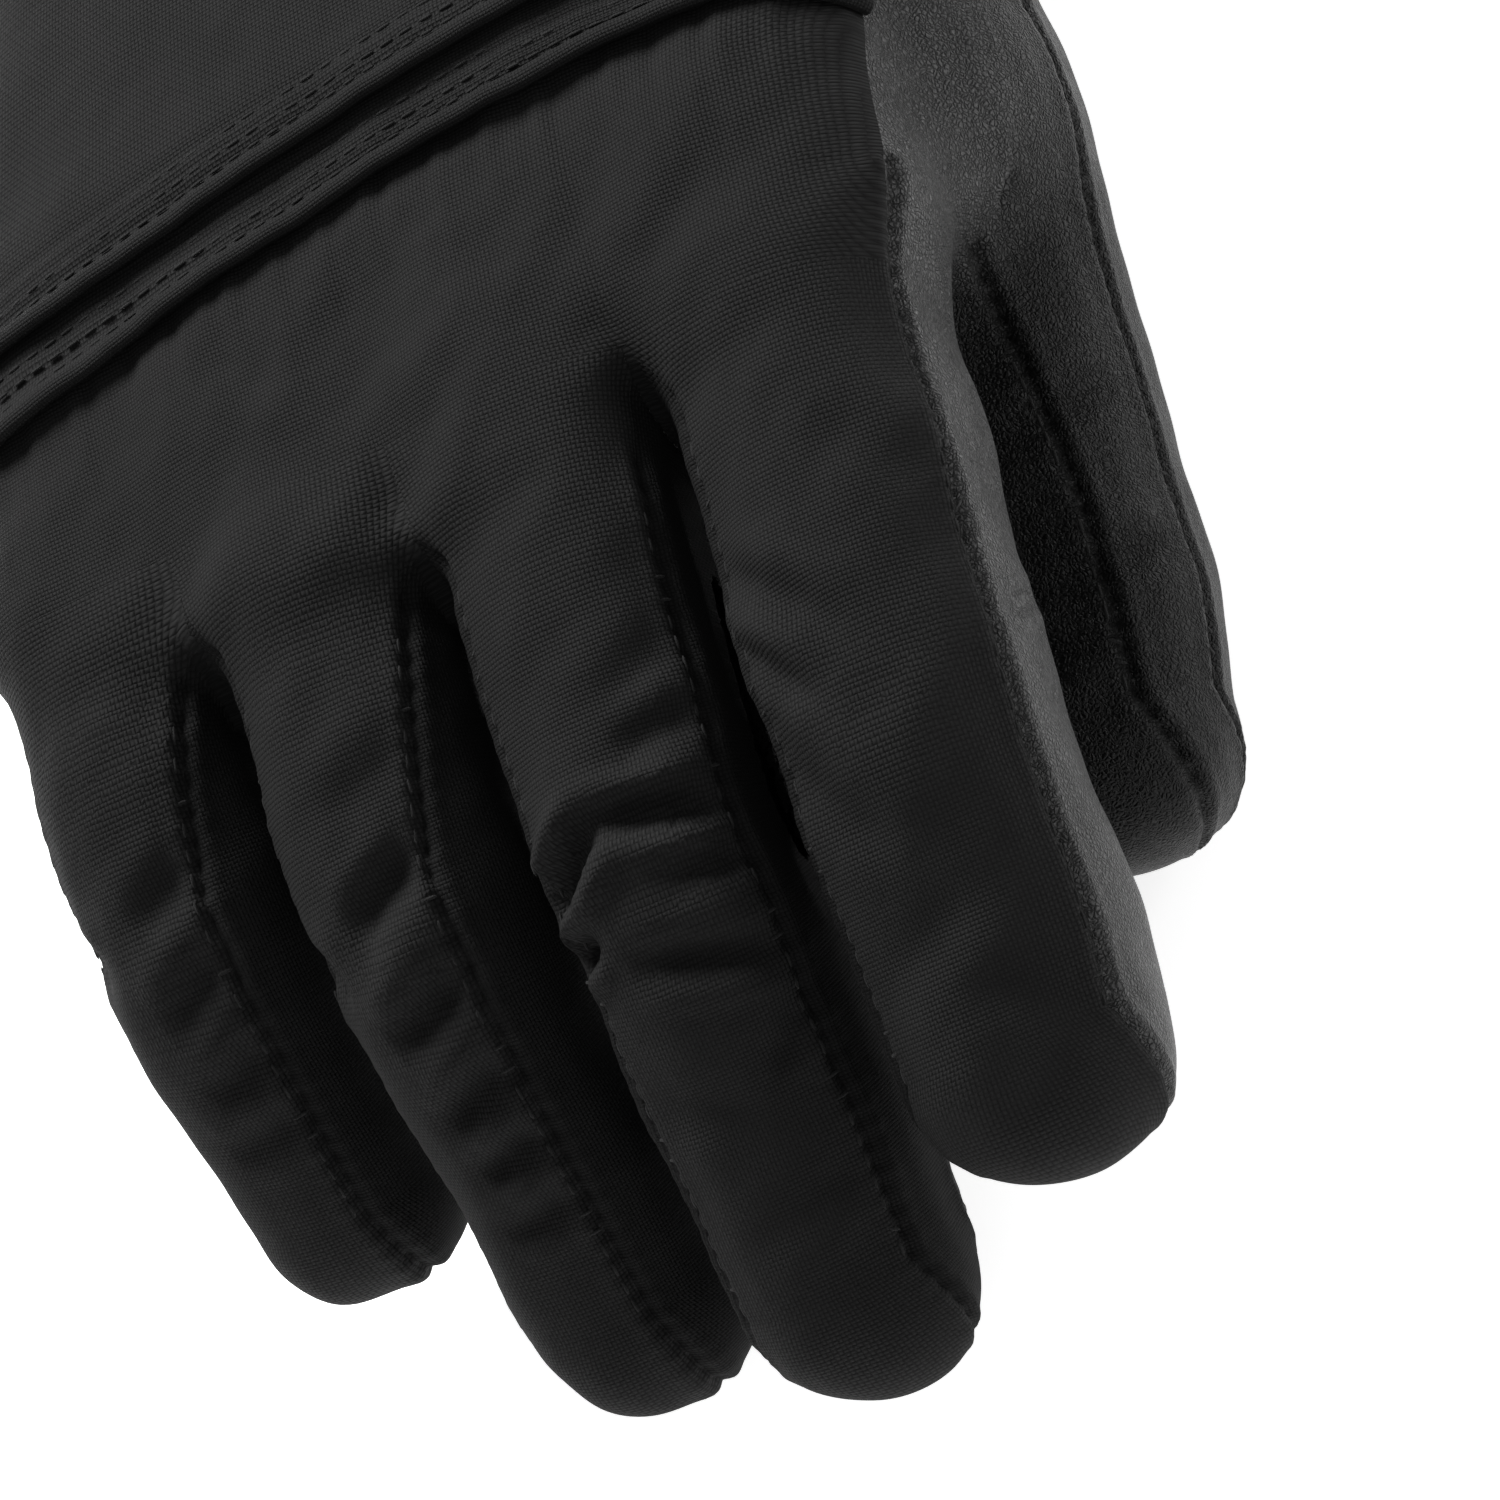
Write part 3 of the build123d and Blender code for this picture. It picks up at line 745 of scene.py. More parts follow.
def woven(name, dark, light, pitch=0.46):
    """Plain-weave cloth: threads that pass over each other, on slow soft rumples."""
    n = Nodes(name)
    uv = n.new("ShaderNodeUVMap", uv_map="cloth").outputs[0]
    parts = n.new("ShaderNodeSeparateXYZ", {0: uv})
    wobble = n.mul(n.noise(0.35, 2.0), 0.35)
    u = n.add(n.mul(parts.outputs[0], 100 / pitch), wobble)
    v = n.add(n.mul(parts.outputs[1], 100 / pitch), wobble)
    over_u = n.math("ABSOLUTE", n.math("SINE", n.mul(u, math.pi)))
    over_v = n.math("ABSOLUTE", n.math("SINE", n.mul(v, math.pi)))
    both = n.add(n.math("FLOOR", u), n.math("FLOOR", v))
    check = n.math("ABSOLUTE", n.math("MODULO", both, 2.0))
    warp = n.mul(over_u, n.add(n.mul(over_v, 0.5), 0.5))
    weft = n.mul(over_v, n.add(n.mul(over_u, 0.35), 0.4))
    height = n.add(n.mul(warp, check), n.mul(weft, n.sub(1.0, check)))
    patches = n.mul(n.noise(0.09, 4.0), 0.3)
    color = n.mix(n.add(n.mul(height, 0.85), patches), grey(dark), grey(light))
    rough_map = n.add(n.mul(n.noise(0.5, 3.0), 0.12), 0.76)
    rumple = n.bump(n.noise(0.22, 3.0), 0.00035, 0.5)
    return n.finish(color=color, rough=rough_map, specular=0.12,
                    normal=n.bump(height, 0.00013, 1.0, rumple))


def leather(name, dark, light, rough, specular, depth, grain=1.9, wear_and_highlight=0.0):
    """Leather: fine closed cells, wrinkles between them, and a glossy rubbed edge.

    With the last argument above 0, that grey is painted as a lighter band along the index finger's
    edge: a painted highlight, on leather that is also glossier there from rubbing.
    """
    n = Nodes(name)
    bend = n.new("ShaderNodeVectorMath", {0: n.rest(), 1: n.new(
        "ShaderNodeTexNoise", {"Vector": n.rest(), "Scale": 0.8, "Detail": 2.0}).outputs["Color"]},
        operation="ADD").outputs[0]
    cells = n.new("ShaderNodeTexVoronoi", {"Vector": bend, "Scale": grain},
                  feature="DISTANCE_TO_EDGE").outputs["Distance"]
    fine = n.new("ShaderNodeTexVoronoi", {"Vector": bend, "Scale": grain * 2.3},
                 feature="F1").outputs["Distance"]
    pebble = n.math("MINIMUM", n.mul(cells, 3.2), 1.0)
    height = n.sub(pebble, n.mul(fine, 0.45))
    color = n.mix(n.mul(height, n.noise(0.12, 4.0)), grey(dark), grey(light))
    rough_map = n.add(n.mul(n.noise(0.3, 4.0), 0.22), rough - 0.11)
    if wear_and_highlight:
        # A soft band above a sloping plane, fading out before the wrist: painted lighter as a
        # highlight, and less rough where the edge is rubbed.
        place = n.new("ShaderNodeSeparateXYZ", {0: n.rest()})
        above = n.sub(place.outputs[2], n.mul(place.outputs[1], 0.2))
        band = n.new("ShaderNodeMapRange", {
            "Value": above, "From Min": 46.0, "From Max": 56.0}, clamp=True).outputs[0]
        forward = n.new("ShaderNodeMapRange", {
            "Value": place.outputs[1], "From Min": 18.0, "From Max": -8.0}, clamp=True).outputs[0]
        band = n.mul(band, forward)
        # The light grey mixed in here is a painted highlight, not the leather's own colour.
        painted_highlight = n.mix(pebble, grey(wear_and_highlight * 0.25), grey(wear_and_highlight))
        color = n.mix(n.mul(band, 0.95), color, painted_highlight)
        rough_map = n.sub(rough_map, n.mul(band, 0.12))
    wrinkles = n.bump(n.noise(0.22, 4.0), 0.0008, 0.5)
    return n.finish(color=color, rough=rough_map, specular=specular,
                    normal=n.bump(height, depth, 1.0, wrinkles))


def ribbed(name, dark, light, pitch=1.2, depth=0.00025):
    """Knit or webbing: rounded ribs along one way, with small cross stitches."""
    n = Nodes(name)
    uv = n.new("ShaderNodeUVMap", uv_map="cloth").outputs[0]
    parts = n.new("ShaderNodeSeparateXYZ", {0: uv})
    u = n.mul(parts.outputs[0], 100 / pitch * math.pi)
    v = n.mul(parts.outputs[1], 100 / pitch * math.pi * 1.7)
    zigzag = n.add(u, n.mul(n.math("SINE", v), 0.35))
    rib = n.math("ABSOLUTE", n.math("SINE", zigzag))
    cross = n.math("ABSOLUTE", n.math("SINE", n.add(v, u)))
    height = n.add(n.mul(rib, 0.75), n.mul(cross, 0.25))
    tint = n.mul(height, n.add(n.noise(0.4, 3.0), 0.4))
    return n.finish(color=n.mix(tint, grey(dark), grey(light)), rough=0.85, specular=0.18,
                    sheen=0.03, sheen_rough=0.5, normal=n.bump(height, depth))


def fleece(name, dark, light):
    """Brushed lining: short fibres in soft clumps."""
    n = Nodes(name)
    fibres, clumps = n.noise(3.5, 5.0), n.noise(0.9, 4.0)
    height = n.add(n.mul(fibres, 0.6), n.mul(clumps, 0.6))
    color = n.mix(height, grey(dark), grey(light))
    return n.finish(color=color, rough=0.95, specular=0.08, sheen=0.12, sheen_rough=0.6,
                    normal=n.bump(height, 0.0006, 0.8))


def moulded(name):
    """Moulded plastic: a fine spark-eroded grain and slight wear."""
    n = Nodes(name)
    where = n.new("ShaderNodeTexCoord").outputs["Object"]
    grain = n.noise(2200.0, 3.0, where)
    color = n.mix(n.noise(90.0, 3.0, where), grey(0.012), grey(0.022))
    rough = n.add(n.mul(n.noise(160.0, 4.0, where), 0.2), 0.3)
    return n.finish(color=color, rough=rough, specular=0.42, normal=n.bump(grain, 0.00003))


def hooks(name):
    """Hook-and-loop face: rows of tiny hooks."""
    n = Nodes(name)
    uv = n.new("ShaderNodeUVMap", uv_map="cloth").outputs[0]
    dots = n.new("ShaderNodeTexVoronoi",
                 {"Vector": uv, "Scale": 120.0, "Randomness": 0.35}).outputs["Distance"]
    height = n.sub(1.0, n.mul(dots, 1.4))
    color = n.mix(height, grey(0.008), grey(0.03))
    return n.finish(color=color, rough=0.6, specular=0.25, normal=n.bump(height, 0.0004))


WOVEN = woven("woven_back", 0.003, 0.0165)
# The fourchettes' cloth is the back's cloth painted darker: painted shade on the sides between the
# fingers.
SHADED_SIDE_WOVEN = woven("woven_side", 0.002, 0.009, pitch=0.4)
CUFF_CLOTH = woven("cuff_cloth", 0.0062, 0.0155)
# Palm leather, with a painted highlight in a lighter band along the index finger's outer edge,
# where it is also rubbed glossier.
LEATHER = leather("palm_leather", 0.002, 0.006, 0.46, 0.22, 0.0002, wear_and_highlight=0.06)
PATCH = leather("patch_leather", 0.005, 0.015, 0.55, 0.25, 0.00014, grain=1.8)
KNIT = ribbed("elastic_knit", 0.005, 0.014)
BINDING = ribbed("binding_tape", 0.005, 0.013, pitch=0.7, depth=0.00012)
PIPING = woven("piping_cloth", 0.0055, 0.014, pitch=0.4)
WEBBING = ribbed("webbing", 0.005, 0.015, pitch=0.9, depth=0.0002)
LINING = fleece("brushed_lining", 0.008, 0.028)
HOOKS = hooks("hook_and_loop")
PLASTIC = moulded("moulded_plastic")
THREAD = ribbed("thread", 0.006, 0.016, pitch=0.3, depth=0.00004)


def dress(o, body, material, slot, *nodes):
    """Gives a piece its body if it has only one and its material, and hides the CAD nodes it stands
    for. The slot argument is not used."""
    o.data.materials.clear()
    o.data.materials.append(material)
    if nodes:
        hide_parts(*nodes)
    if body:
        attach(o, body)
    return o


# ---------------------------------------------------------------- digits


def bend_points(pivot, direction, before, after):
    direction = np.array(direction, float)
    direction /= np.linalg.norm(direction)
    return tuple((pivot - direction * before) * MM), tuple((pivot + direction * after) * MM)


# How far before and after its pivot each hinge's bend is spread.
BASE_BEND = {"index": (6, 9), "middle": (3, 10), "ring": (3.5, 10), "pinky": (1.5, 9),
             "thumb": (6, 9)}
MIDDLE_BEND = {"index": (9, 9), "middle": (9, 9), "ring": (9, 9), "pinky": (6, 8),
               "thumb": (7, 8)}
PANEL_LOOK = {
    "back": (WOVEN, "woven_back"), "fourchettes": (SHADED_SIDE_WOVEN, "woven_back"),
    "palm": (LEATHER, "palm_leather"), "outer": (LEATHER, "palm_leather"),
    "inner": (LEATHER, "palm_leather"),
}


def in_plane(d, s):
    i = min(np.searchsorted(d.s, s), len(d.s) - 1)
    return np.array([0, *d.tangent[i]])


def bend_piece(o, d, stall):
    """Finds the hinge that a piece's stall starts at and how far its bend would spread, then only
    bakes the piece's transform; the piece is not bent.
    """
    if stall == "proximal":
        a, b, pivot, s, reach = "hand", f"{d.name}_proximal", d.base, d.s_base, BASE_BEND
        direction = (0, -1, 0) if d.name != "thumb" else in_plane(d, s)
    else:
        a, b = f"{d.name}_proximal", f"{d.name}_distal"
        pivot, s, reach = d.middle, d.s_middle, MIDDLE_BEND
        direction = in_plane(d, s)
    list(bend_points(pivot, direction, *reach[d.name]))
    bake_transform(o)


def stall_split(d):
    """Where a digit's first skin ends and its second starts: rigid on the proximal body."""
    base_end, middle_start = BASE_BEND[d.name][1], MIDDLE_BEND[d.name][0]
    return (d.s_base + base_end + d.s_middle - middle_start) / 2


def digit_panel(d, s, angle, over):
    """Panel of each point: 0 back, 1 fourchettes, 2 palm (for the thumb: 0 outer, 1 inner)."""
    if d.name == "thumb":
        return np.where((angle > d.seam("under", s)) & (angle < d.seam("left", s)), 1, 0)
    panel = np.full(len(s), 2)
    strip = over < 1.2 * d.cap
    if "palm_right" in d.seams:
        panel[(angle >= d.seam("right", s)) & (angle < d.seam("palm_right", s)) & strip] = 1
    panel[(angle <= d.seam("left", s)) & (angle > d.seam("palm_left", s)) & strip] = 1
    panel[(angle > d.seam("left", s)) & (angle < d.seam("right", s))] = 0
    return panel


def make_digit(d, index):
    thumb = d.name == "thumb"
    if thumb:
        def field(x, y, z):
            return join_thumb(hand_field(x, y, z), x, y, z)
        low = (d.x.min() - 19, d.yz[:, 0].min() - 18, -1)
        high = (d.x.max() + 19, d.base[1] + 14, 58)
        left, right, shared = -FAR, FAR, field
    else:
        left, right = MIDPLANES[index + 1], MIDPLANES[index]
        nearby = FINGERS[max(index - 1, 0) : index + 2]

        def field(x, y, z):
            held = np.clip(x, left, right)
            return glove_field(held, y, z, False, nearby) + np.abs(x - held) * 0.2

        def shared(x, y, z):
            return glove_field(x, y, z, False, nearby)

        low = (max(left - 1.4, d.base[0] - 18), d.yz[:, 0].min() - 18, -1)
        high = (min(right + 1.4, d.base[0] + 18), SPLIT_Y + 3, 80)
    verts, tris = skin(field, low, high)
    if not thumb:
        for plane in (left, right):
            if abs(plane) < FAR:
                verts, tris = cut(verts, tris, verts[:, 0] - plane)
        middle = verts[tris].mean(1)
        tris = tris[(middle[:, 0] > left) & (middle[:, 0] < right)]
        verts, tris = cut(verts, tris, verts[:, 1] - SPLIT_Y)
    for side in d.seams:
        s, angle, _ = d.angle(*verts.T)
        verts, tris = cut(verts, tris, np.sin(angle - d.seam(side, s)) * d.radius(s))
    s = d.coords(verts[:, 1], verts[:, 2])[0]
    verts, tris = cut(verts, tris, s - stall_split(d))
    if thumb:
        s = d.coords(verts[:, 1], verts[:, 2])[0]
        verts, tris = cut(verts, tris, s - THUMB_SPLIT)
    raised, _ = raise_relief(shared, verts)
    # Past the crotch a digit keeps clear of its neighbours.
    clear = np.clip(raised[:, 0], left + SIDE_GAP, right - SIDE_GAP)
    raised[:, 0] += (clear - raised[:, 0]) * smooth_step(4.5, 7.5, hand_field(*verts.T))
    normals = vertex_normals(raised, tris)
    middle = verts[tris].mean(1)
    s, angle, over = d.angle(*middle.T)
    if thumb:
        keep = (s > THUMB_SPLIT) & (d.field(*middle.T) < hand_field(*middle.T))
    else:
        keep = middle[:, 1] < SPLIT_Y
    panel = digit_panel(d, s, angle, over)
    distal = s > stall_split(d)
    vs, va, vo = d.angle(*verts.T)
    uv = np.c_[d.base[0] + va * d.radius(vs), vs + np.maximum(vo, 0)]
    names = ("outer", "inner") if thumb else ("back", "fourchettes", "palm")
    for far, stall in ((False, "proximal"), (True, "distal")):
        for k, kind in enumerate(names):
            chosen = tris[keep & (distal == far) & (panel == k)]
            if not len(chosen):
                continue
            o = shell(f"{d.name}_{stall}_{kind}_skin", raised, chosen, normals, uv)
            nodes = [f"{d.name}_{stall}_{kind}"]
            if k == 0:
                nodes.append(f"{d.name}_{stall}_liner")
            dress(o, None, *PANEL_LOOK[kind], *nodes)
            bend_piece(o, d, stall)
    return field


def stitch_mesh(name, centres, along, normals, length=1.7, width=0.42, sink=0.05):
    """Short round stitches, each a six-sided bead drawn out along the seam."""
    sides, rings = 6, ((-1, 0.25), (-0.6, 0.9), (0, 1.0), (0.6, 0.9), (1, 0.25))
    across = unit(np.cross(normals, along))
    verts = []
    count = len(rings) * sides
    for place, fat in rings:
        for j in range(sides):
            a = 2 * math.pi * j / sides
            verts.append(
                centres + along * (place * length / 2)
                + across * (math.cos(a) * fat * width / 2)
                + normals * (math.sin(a) * fat * width * 0.42 - sink)
            )
    verts = np.stack(verts, 1).reshape(-1, 3)
    one = []
    for k in range(len(rings) - 1):
        for j in range(sides):
            a, b = k * sides + j, k * sides + (j + 1) % sides
            one += [(a, b, b + sides), (a, b + sides, a + sides)]
    for j in range(1, sides - 1):
        one.append((0, j + 1, j))
        top = (len(rings) - 1) * sides
        one.append((top, top + j, top + j + 1))
    one = np.array(one)
    faces = np.concatenate([one + i * count for i in range(len(centres))])
    return link(name, verts, faces)


def seam_stitches(d, field, side, start, offset=0.95):
    """A row of stitches beside a digit's seam, in one piece to each stall."""
    stops = np.arange(d.s_base + start, d.s[-1] - 1.0, STITCH)
    for far, stall in ((False, "proximal"), (True, "distal")):
        here = stops[(stops > stall_split(d)) == far]
        if len(here) < 3:
            continue
        shift = offset / d.radius(here) * (-1 if side == "right" else 1)
        angle = d.seam(side, here) + shift
        base = project(field, d.point(here, angle))
        ahead = project(field, d.point(here + 0.6, np.interp(here + 0.6, here, angle)))
        top, normals = raise_relief(field, base)
        o = stitch_mesh(f"{d.name}_{stall}_{side}_stitches", top, unit(ahead - base), normals)
        dress(o, None, THREAD, "woven_back" if d.name != "thumb" else "palm_leather")
        bend_piece(o, d, stall)


for place, digit in enumerate(FINGERS):
    own_field = make_digit(digit, place)
    seam_stitches(digit, own_field, "right", 1)
    seam_stitches(digit, own_field, "left", 1)
thumb_field = make_digit(THUMB, 4)
seam_stitches(THUMB, thumb_field, "right", -4)
seam_stitches(THUMB, thumb_field, "left", -4, -1.0)

# ---------------------------------------------------------------- hand


THUMB_SIDE_SEAM = ((0, 31, 60), (48.3, 50.8, 51))  # distances past the crotch line, x there


def below_back(p):
    """Above zero on the back of the hand, below zero on the palm side."""
    back = p[:, 1] - CROTCH
    cx, cz, _, _, roll = hand_station(back)
    height = p[:, 2] - cz - np.tan(np.radians(roll)) * (p[:, 0] - cx) + 1.0
    # On the thumb's side the leather comes up round the edge of the hand.
    seam = np.interp(back, *THUMB_SIDE_SEAM)
    return np.minimum(height, seam - p[:, 0] + 0.49 * (p[:, 2] - 60))


def make_hand():
    verts, tris = skin(glove_field, (-64, SPLIT_Y - 3, -1), (74, WRIST - 8, 82))
    verts, tris = cut(verts, tris, verts[:, 1] - SPLIT_Y)
    verts, tris = cut(verts, tris, below_back(verts))
    s = THUMB.coords(verts[:, 1], verts[:, 2])[0]
    verts, tris = cut(verts, tris, s - THUMB_SPLIT)
    raised, _ = raise_relief(glove_field, verts)
    normals = vertex_normals(raised, tris)
    middle = verts[tris].mean(1)
    s = THUMB.coords(middle[:, 1], middle[:, 2])[0]
    thumb = THUMB.field(*middle.T)
    hand = hand_field(*middle.T)
    keep = (middle[:, 1] > SPLIT_Y) & ~((s > THUMB_SPLIT) & (thumb < hand))
    up = below_back(middle) > 0
    root = ~up & (thumb < 2.0) & (middle[:, 0] > 18)
    uv = np.c_[verts[:, 0] + 0.6 * (verts[:, 2] - 60), verts[:, 1]]
    o = shell("knuckle_panel_skin", raised, tris[keep & up], normals, uv)
    dress(o, "hand", WOVEN, "woven_back", "knuckle_panel", "hand_liner")
    o = shell("palm_skin", raised, tris[keep & ~up & ~root], normals, uv)
    dress(o, "hand", LEATHER, "palm_leather", "palm_panel")
    o = shell("thumb_gusset_skin", raised, tris[keep & root], normals, uv)
    dress(o, "hand", LEATHER, "palm_leather", "thumb_gusset", "gusset_liner")


make_hand()


def hand_section(y, turns):
    """Points round the hand at a station, from the thumb's edge over the back."""
    cx, cz, wide, tall, roll = hand_station(y - CROTCH)
    c, s = np.cos(turns), np.sin(turns)
    r = round_off(c, s, HAND_POWER)
    px, pz = c * r * wide / 2, s * r * tall / 2
    angle = np.radians(roll)
    return np.stack([
        cx + px * np.cos(angle) - pz * np.sin(angle), np.broadcast_to(y, px.shape),
        cz + px * np.sin(angle) + pz * np.cos(angle)], -1)


BACK_TURNS = np.linspace(math.radians(20), math.radians(176), 220)


def back_points(y_of_x, turns=BACK_TURNS):
    """Points on the raised skin across the back, along a line y(x)."""
    y = np.full(len(turns), CROTCH + 30.0)
    for _ in range(3):
        p = hand_section(y, turns)
        y = y_of_x(p[:, 0] - HAND_X) + CROTCH
    p = hand_section(y, turns)
    p = project(glove_field, p)
    return raise_relief(glove_field, p, lambda q: 0.5 * lumps(q))


def grid_faces(rows, columns, closed=False):
    last = columns if closed else columns - 1
    i, j = np.meshgrid(np.arange(rows - 1), np.arange(last), indexing="ij")
    a = (i * columns + j).ravel()
    b = (i * columns + (j + 1) % columns).ravel()
    return np.stack([a, b, b + columns, a + columns], 1)


def edge_rim(n, m):
    """The rim faces round all four edges, between a grid's outer copy and its inner copy."""
    ids = np.arange(n * m).reshape(n, m)
    loop = np.concatenate([ids[0, :-1], ids[:-1, -1], ids[-1, :0:-1], ids[:0:-1, 0]])
    after = np.roll(loop, -1)
    return np.stack([after, loop, loop + n * m, after + n * m], 1)


def end_rims(n, m, last_flipped):
    """The rim faces at the two open ends of a tube, between its outer copy and its inner copy."""
    ids = np.arange(n * m).reshape(n, m)
    rims = []
    for row, flipped in ((ids[0], not last_flipped), (ids[-1], last_flipped)):
        after = np.roll(row, -1)
        quad = np.stack([row, after, after + n * m, row + n * m], 1)
        rims.append(quad[:, ::-1] if flipped else quad)
    return rims


def two_sided(name, outer, inner, faces, rims, u, v):
    """A wall between two grids of points, with cloth coordinates u and v."""
    uv = np.stack(np.broadcast_arrays(u, v), -1).reshape(-1, 2)
    count = len(uv)
    return link(name, np.concatenate([outer.reshape(-1, 3), inner.reshape(-1, 3)]),
                np.concatenate([faces, faces[:, ::-1] + count, *rims]), np.concatenate([uv, uv]))


def sheet_grid(name, rows, thick, flip=False):
    """A thick strip through rows of points and normals: outer, inner and all four rims."""
    points = np.stack([r[0] for r in rows])
    normals = np.stack([r[1] for r in rows])
    n, m = points.shape[:2]
    faces, rim = grid_faces(n, m), edge_rim(n, m)
    if flip:
        faces = faces[:, ::-1]
    else:
        rim = rim[:, ::-1]
    across, along = run_length(points[n // 2]), run_length(points[:, m // 2])
    return two_sided(name, points, points - normals * thick, faces, [rim],
                     across[None], along[:, None])


def layer_rows(start, stop, count, lift, roll=0.9):
    """Rows of a cloth layer on the back, from its rolled front edge to its far edge."""
    rows = []
    shares = np.linspace(0, 1, count)
    shares = shares**1.6 * (1 - shares) + (1 - (1 - shares) ** 1.6) * shares
    every = np.repeat(shares, len(BACK_TURNS))
    points, normals = back_points(
        lambda x: start(x) + (stop(x) - start(x)) * every, np.tile(BACK_TURNS, count)
    )
    for f, p, n in zip(shares, points.reshape(count, -1, 3), normals.reshape(count, -1, 3)):
        d = (stop(0.0) - start(0.0)) * f
        height = lift + roll * bell(d, 1.0) - 0.55 * bell(d - HEM_ROWS[0], 0.7)
        for row in HEM_ROWS[1:]:
            height -= 0.3 * bell(d - row, 0.4)
        x = p[:, 0]
        height = height + 0.1 * np.sin(x * 0.7 + 1.2) * np.exp(-d / 9) * min(d / 3, 1.0)
        ahead = (stop(0.0) - start(0.0)) * (1 - f)
        height += 0.5 * roll * bell(ahead, 1.2) - 0.45 * bell(ahead - 3.0, 0.7)
        rows.append((p + n * height[:, None], n))
    return rows


def roll_tube(name, line, lift, radius):
    """The rolled, padded edge of a hem."""
    p, n = back_points(line)
    p = p + n * (lift + radius * 0.6 + 0.06 * np.sin(p[:, :1] * 0.9))
    across = np.cross(n, unit(np.gradient(p, axis=0)))
    sides = 14
    turns = np.linspace(0, 2 * math.pi, sides, endpoint=False)
    ring = (
        p[:, None] + across[:, None] * (np.cos(turns) * radius)[None, :, None]
        + n[:, None] * (np.sin(turns) * radius * 0.85)[None, :, None]
    )
    verts = ring.reshape(-1, 3)
    faces = grid_faces(len(p), sides, closed=True)[:, ::-1]
    uv = np.stack(np.broadcast_arrays(run_length(p)[:, None], (turns * radius)[None]), -1)
    uv = uv.reshape(-1, 2)
    o = link(name, verts, faces, uv)
    fill_ends(o)
    return o


def fill_ends(o):
    b = bmesh.new()
    b.from_mesh(o.data)
    bmesh.ops.holes_fill(b, edges=[e for e in b.edges if e.is_boundary])
    bmesh.ops.recalc_face_normals(b, faces=b.faces)
    b.to_mesh(o.data)
    b.free()
    for polygon in o.data.polygons:
        polygon.use_smooth = True


HEM_STEP = 8.7  # from the lower hem's edge to the upper's
LOWER_LIFT, UPPER_LIFT = 1.5, 2.8  # height of the two layers over the hand's skin
BAND_END = box("pleat_band")[1][1] - CROTCH


def upper_line(x):
    return hem_line(x) + HEM_STEP


def band_end(x):
    return BAND_END + 2.0 + 0.0 * x


def wrist_line(x):
    return WRIST - 14 - CROTCH + 0.0 * x


band = sheet_grid("pleat_band_cloth", layer_rows(hem_line, band_end, 40, LOWER_LIFT), 0.8)
dress(band, "hand", WOVEN, "woven_back", "pleat_band")
lower = roll_tube("lower_hem_roll", lambda x: hem_line(x) + 0.5, 0.9, 1.2)
dress(lower, "hand", PIPING, "piping", "lower_piping")
upper = sheet_grid("upper_back_cloth", layer_rows(upper_line, wrist_line, 70, UPPER_LIFT), 0.8)
dress(upper, "hand", WOVEN, "woven_back", "upper_back_panel")
upper_roll = roll_tube("upper_hem_roll", lambda x: upper_line(x) + 0.5, 2.2, 1.2)
dress(upper_roll, "hand", PIPING, "piping", "upper_piping")

for name, line, lift in (("lower", hem_line, LOWER_LIFT), ("upper", upper_line, UPPER_LIFT)):
    for k, row in enumerate(HEM_ROWS):
        p, n = back_points(lambda x: line(x) + row)
        run = run_length(p)
        stops = np.arange(1, run[-1] - 1, STITCH)
        p, n, along = (
            np.stack([np.interp(stops, run, v[:, i]) for i in range(3)], 1)
            for v in (p, n, np.gradient(p, axis=0))
        )
        o = stitch_mesh(f"{name}_hem_stitches_{k + 1}", p + n * (lift - 0.1), unit(along), n)
        dress(o, "hand", THREAD, "woven_back")



def make_patch():
    """The palm's reinforcing patch, which follows the palm a little below it."""
    patch_low, patch_high = box("palm_patch")
    xs = np.linspace(patch_low[0] + 1, patch_high[0] - 1, 60)
    ys = np.linspace(patch_low[1] + 1, patch_high[1] - 1, 50)
    centre = (patch_low + patch_high) / 2
    half = (patch_high - patch_low) / 2
    edge = np.maximum(1 - np.abs((ys - centre[1]) / half[1]) ** 5, 0.0) ** 0.2
    x = centre[0] + (xs - centre[0])[None] * edge[:, None]
    p = np.stack([x, np.broadcast_to(ys[:, None], x.shape), np.full(x.shape, 20.0)], -1)
    p = p.reshape(-1, 3)
    for _ in range(16):
        p[:, 2] += np.clip(glove_field(*p.T), -3, 3) * 0.9
    g = gradient(glove_field, p)
    g /= np.linalg.norm(g, axis=1)[:, None]
    top = (p + g * (relief(p) + 1.1)[:, None]).reshape(*x.shape, 3)
    return sheet_grid("palm_patch_skin", list(zip(top, g.reshape(*x.shape, 3))), 0.9, flip=True)


o = make_patch()
dress(o, "hand", PATCH, "patch_leather", "palm_patch")

# ---------------------------------------------------------------- wrist, cuff and strap

CUFF_END = box("cuff_shell")[1][1]
MOUTH = box("cuff_binding")[1][1]
SLEEVE_RADIUS = 45.0  # scales the cloth's pattern round a sleeve
LOOP_LENGTH = 58.0  # once round the pull loop


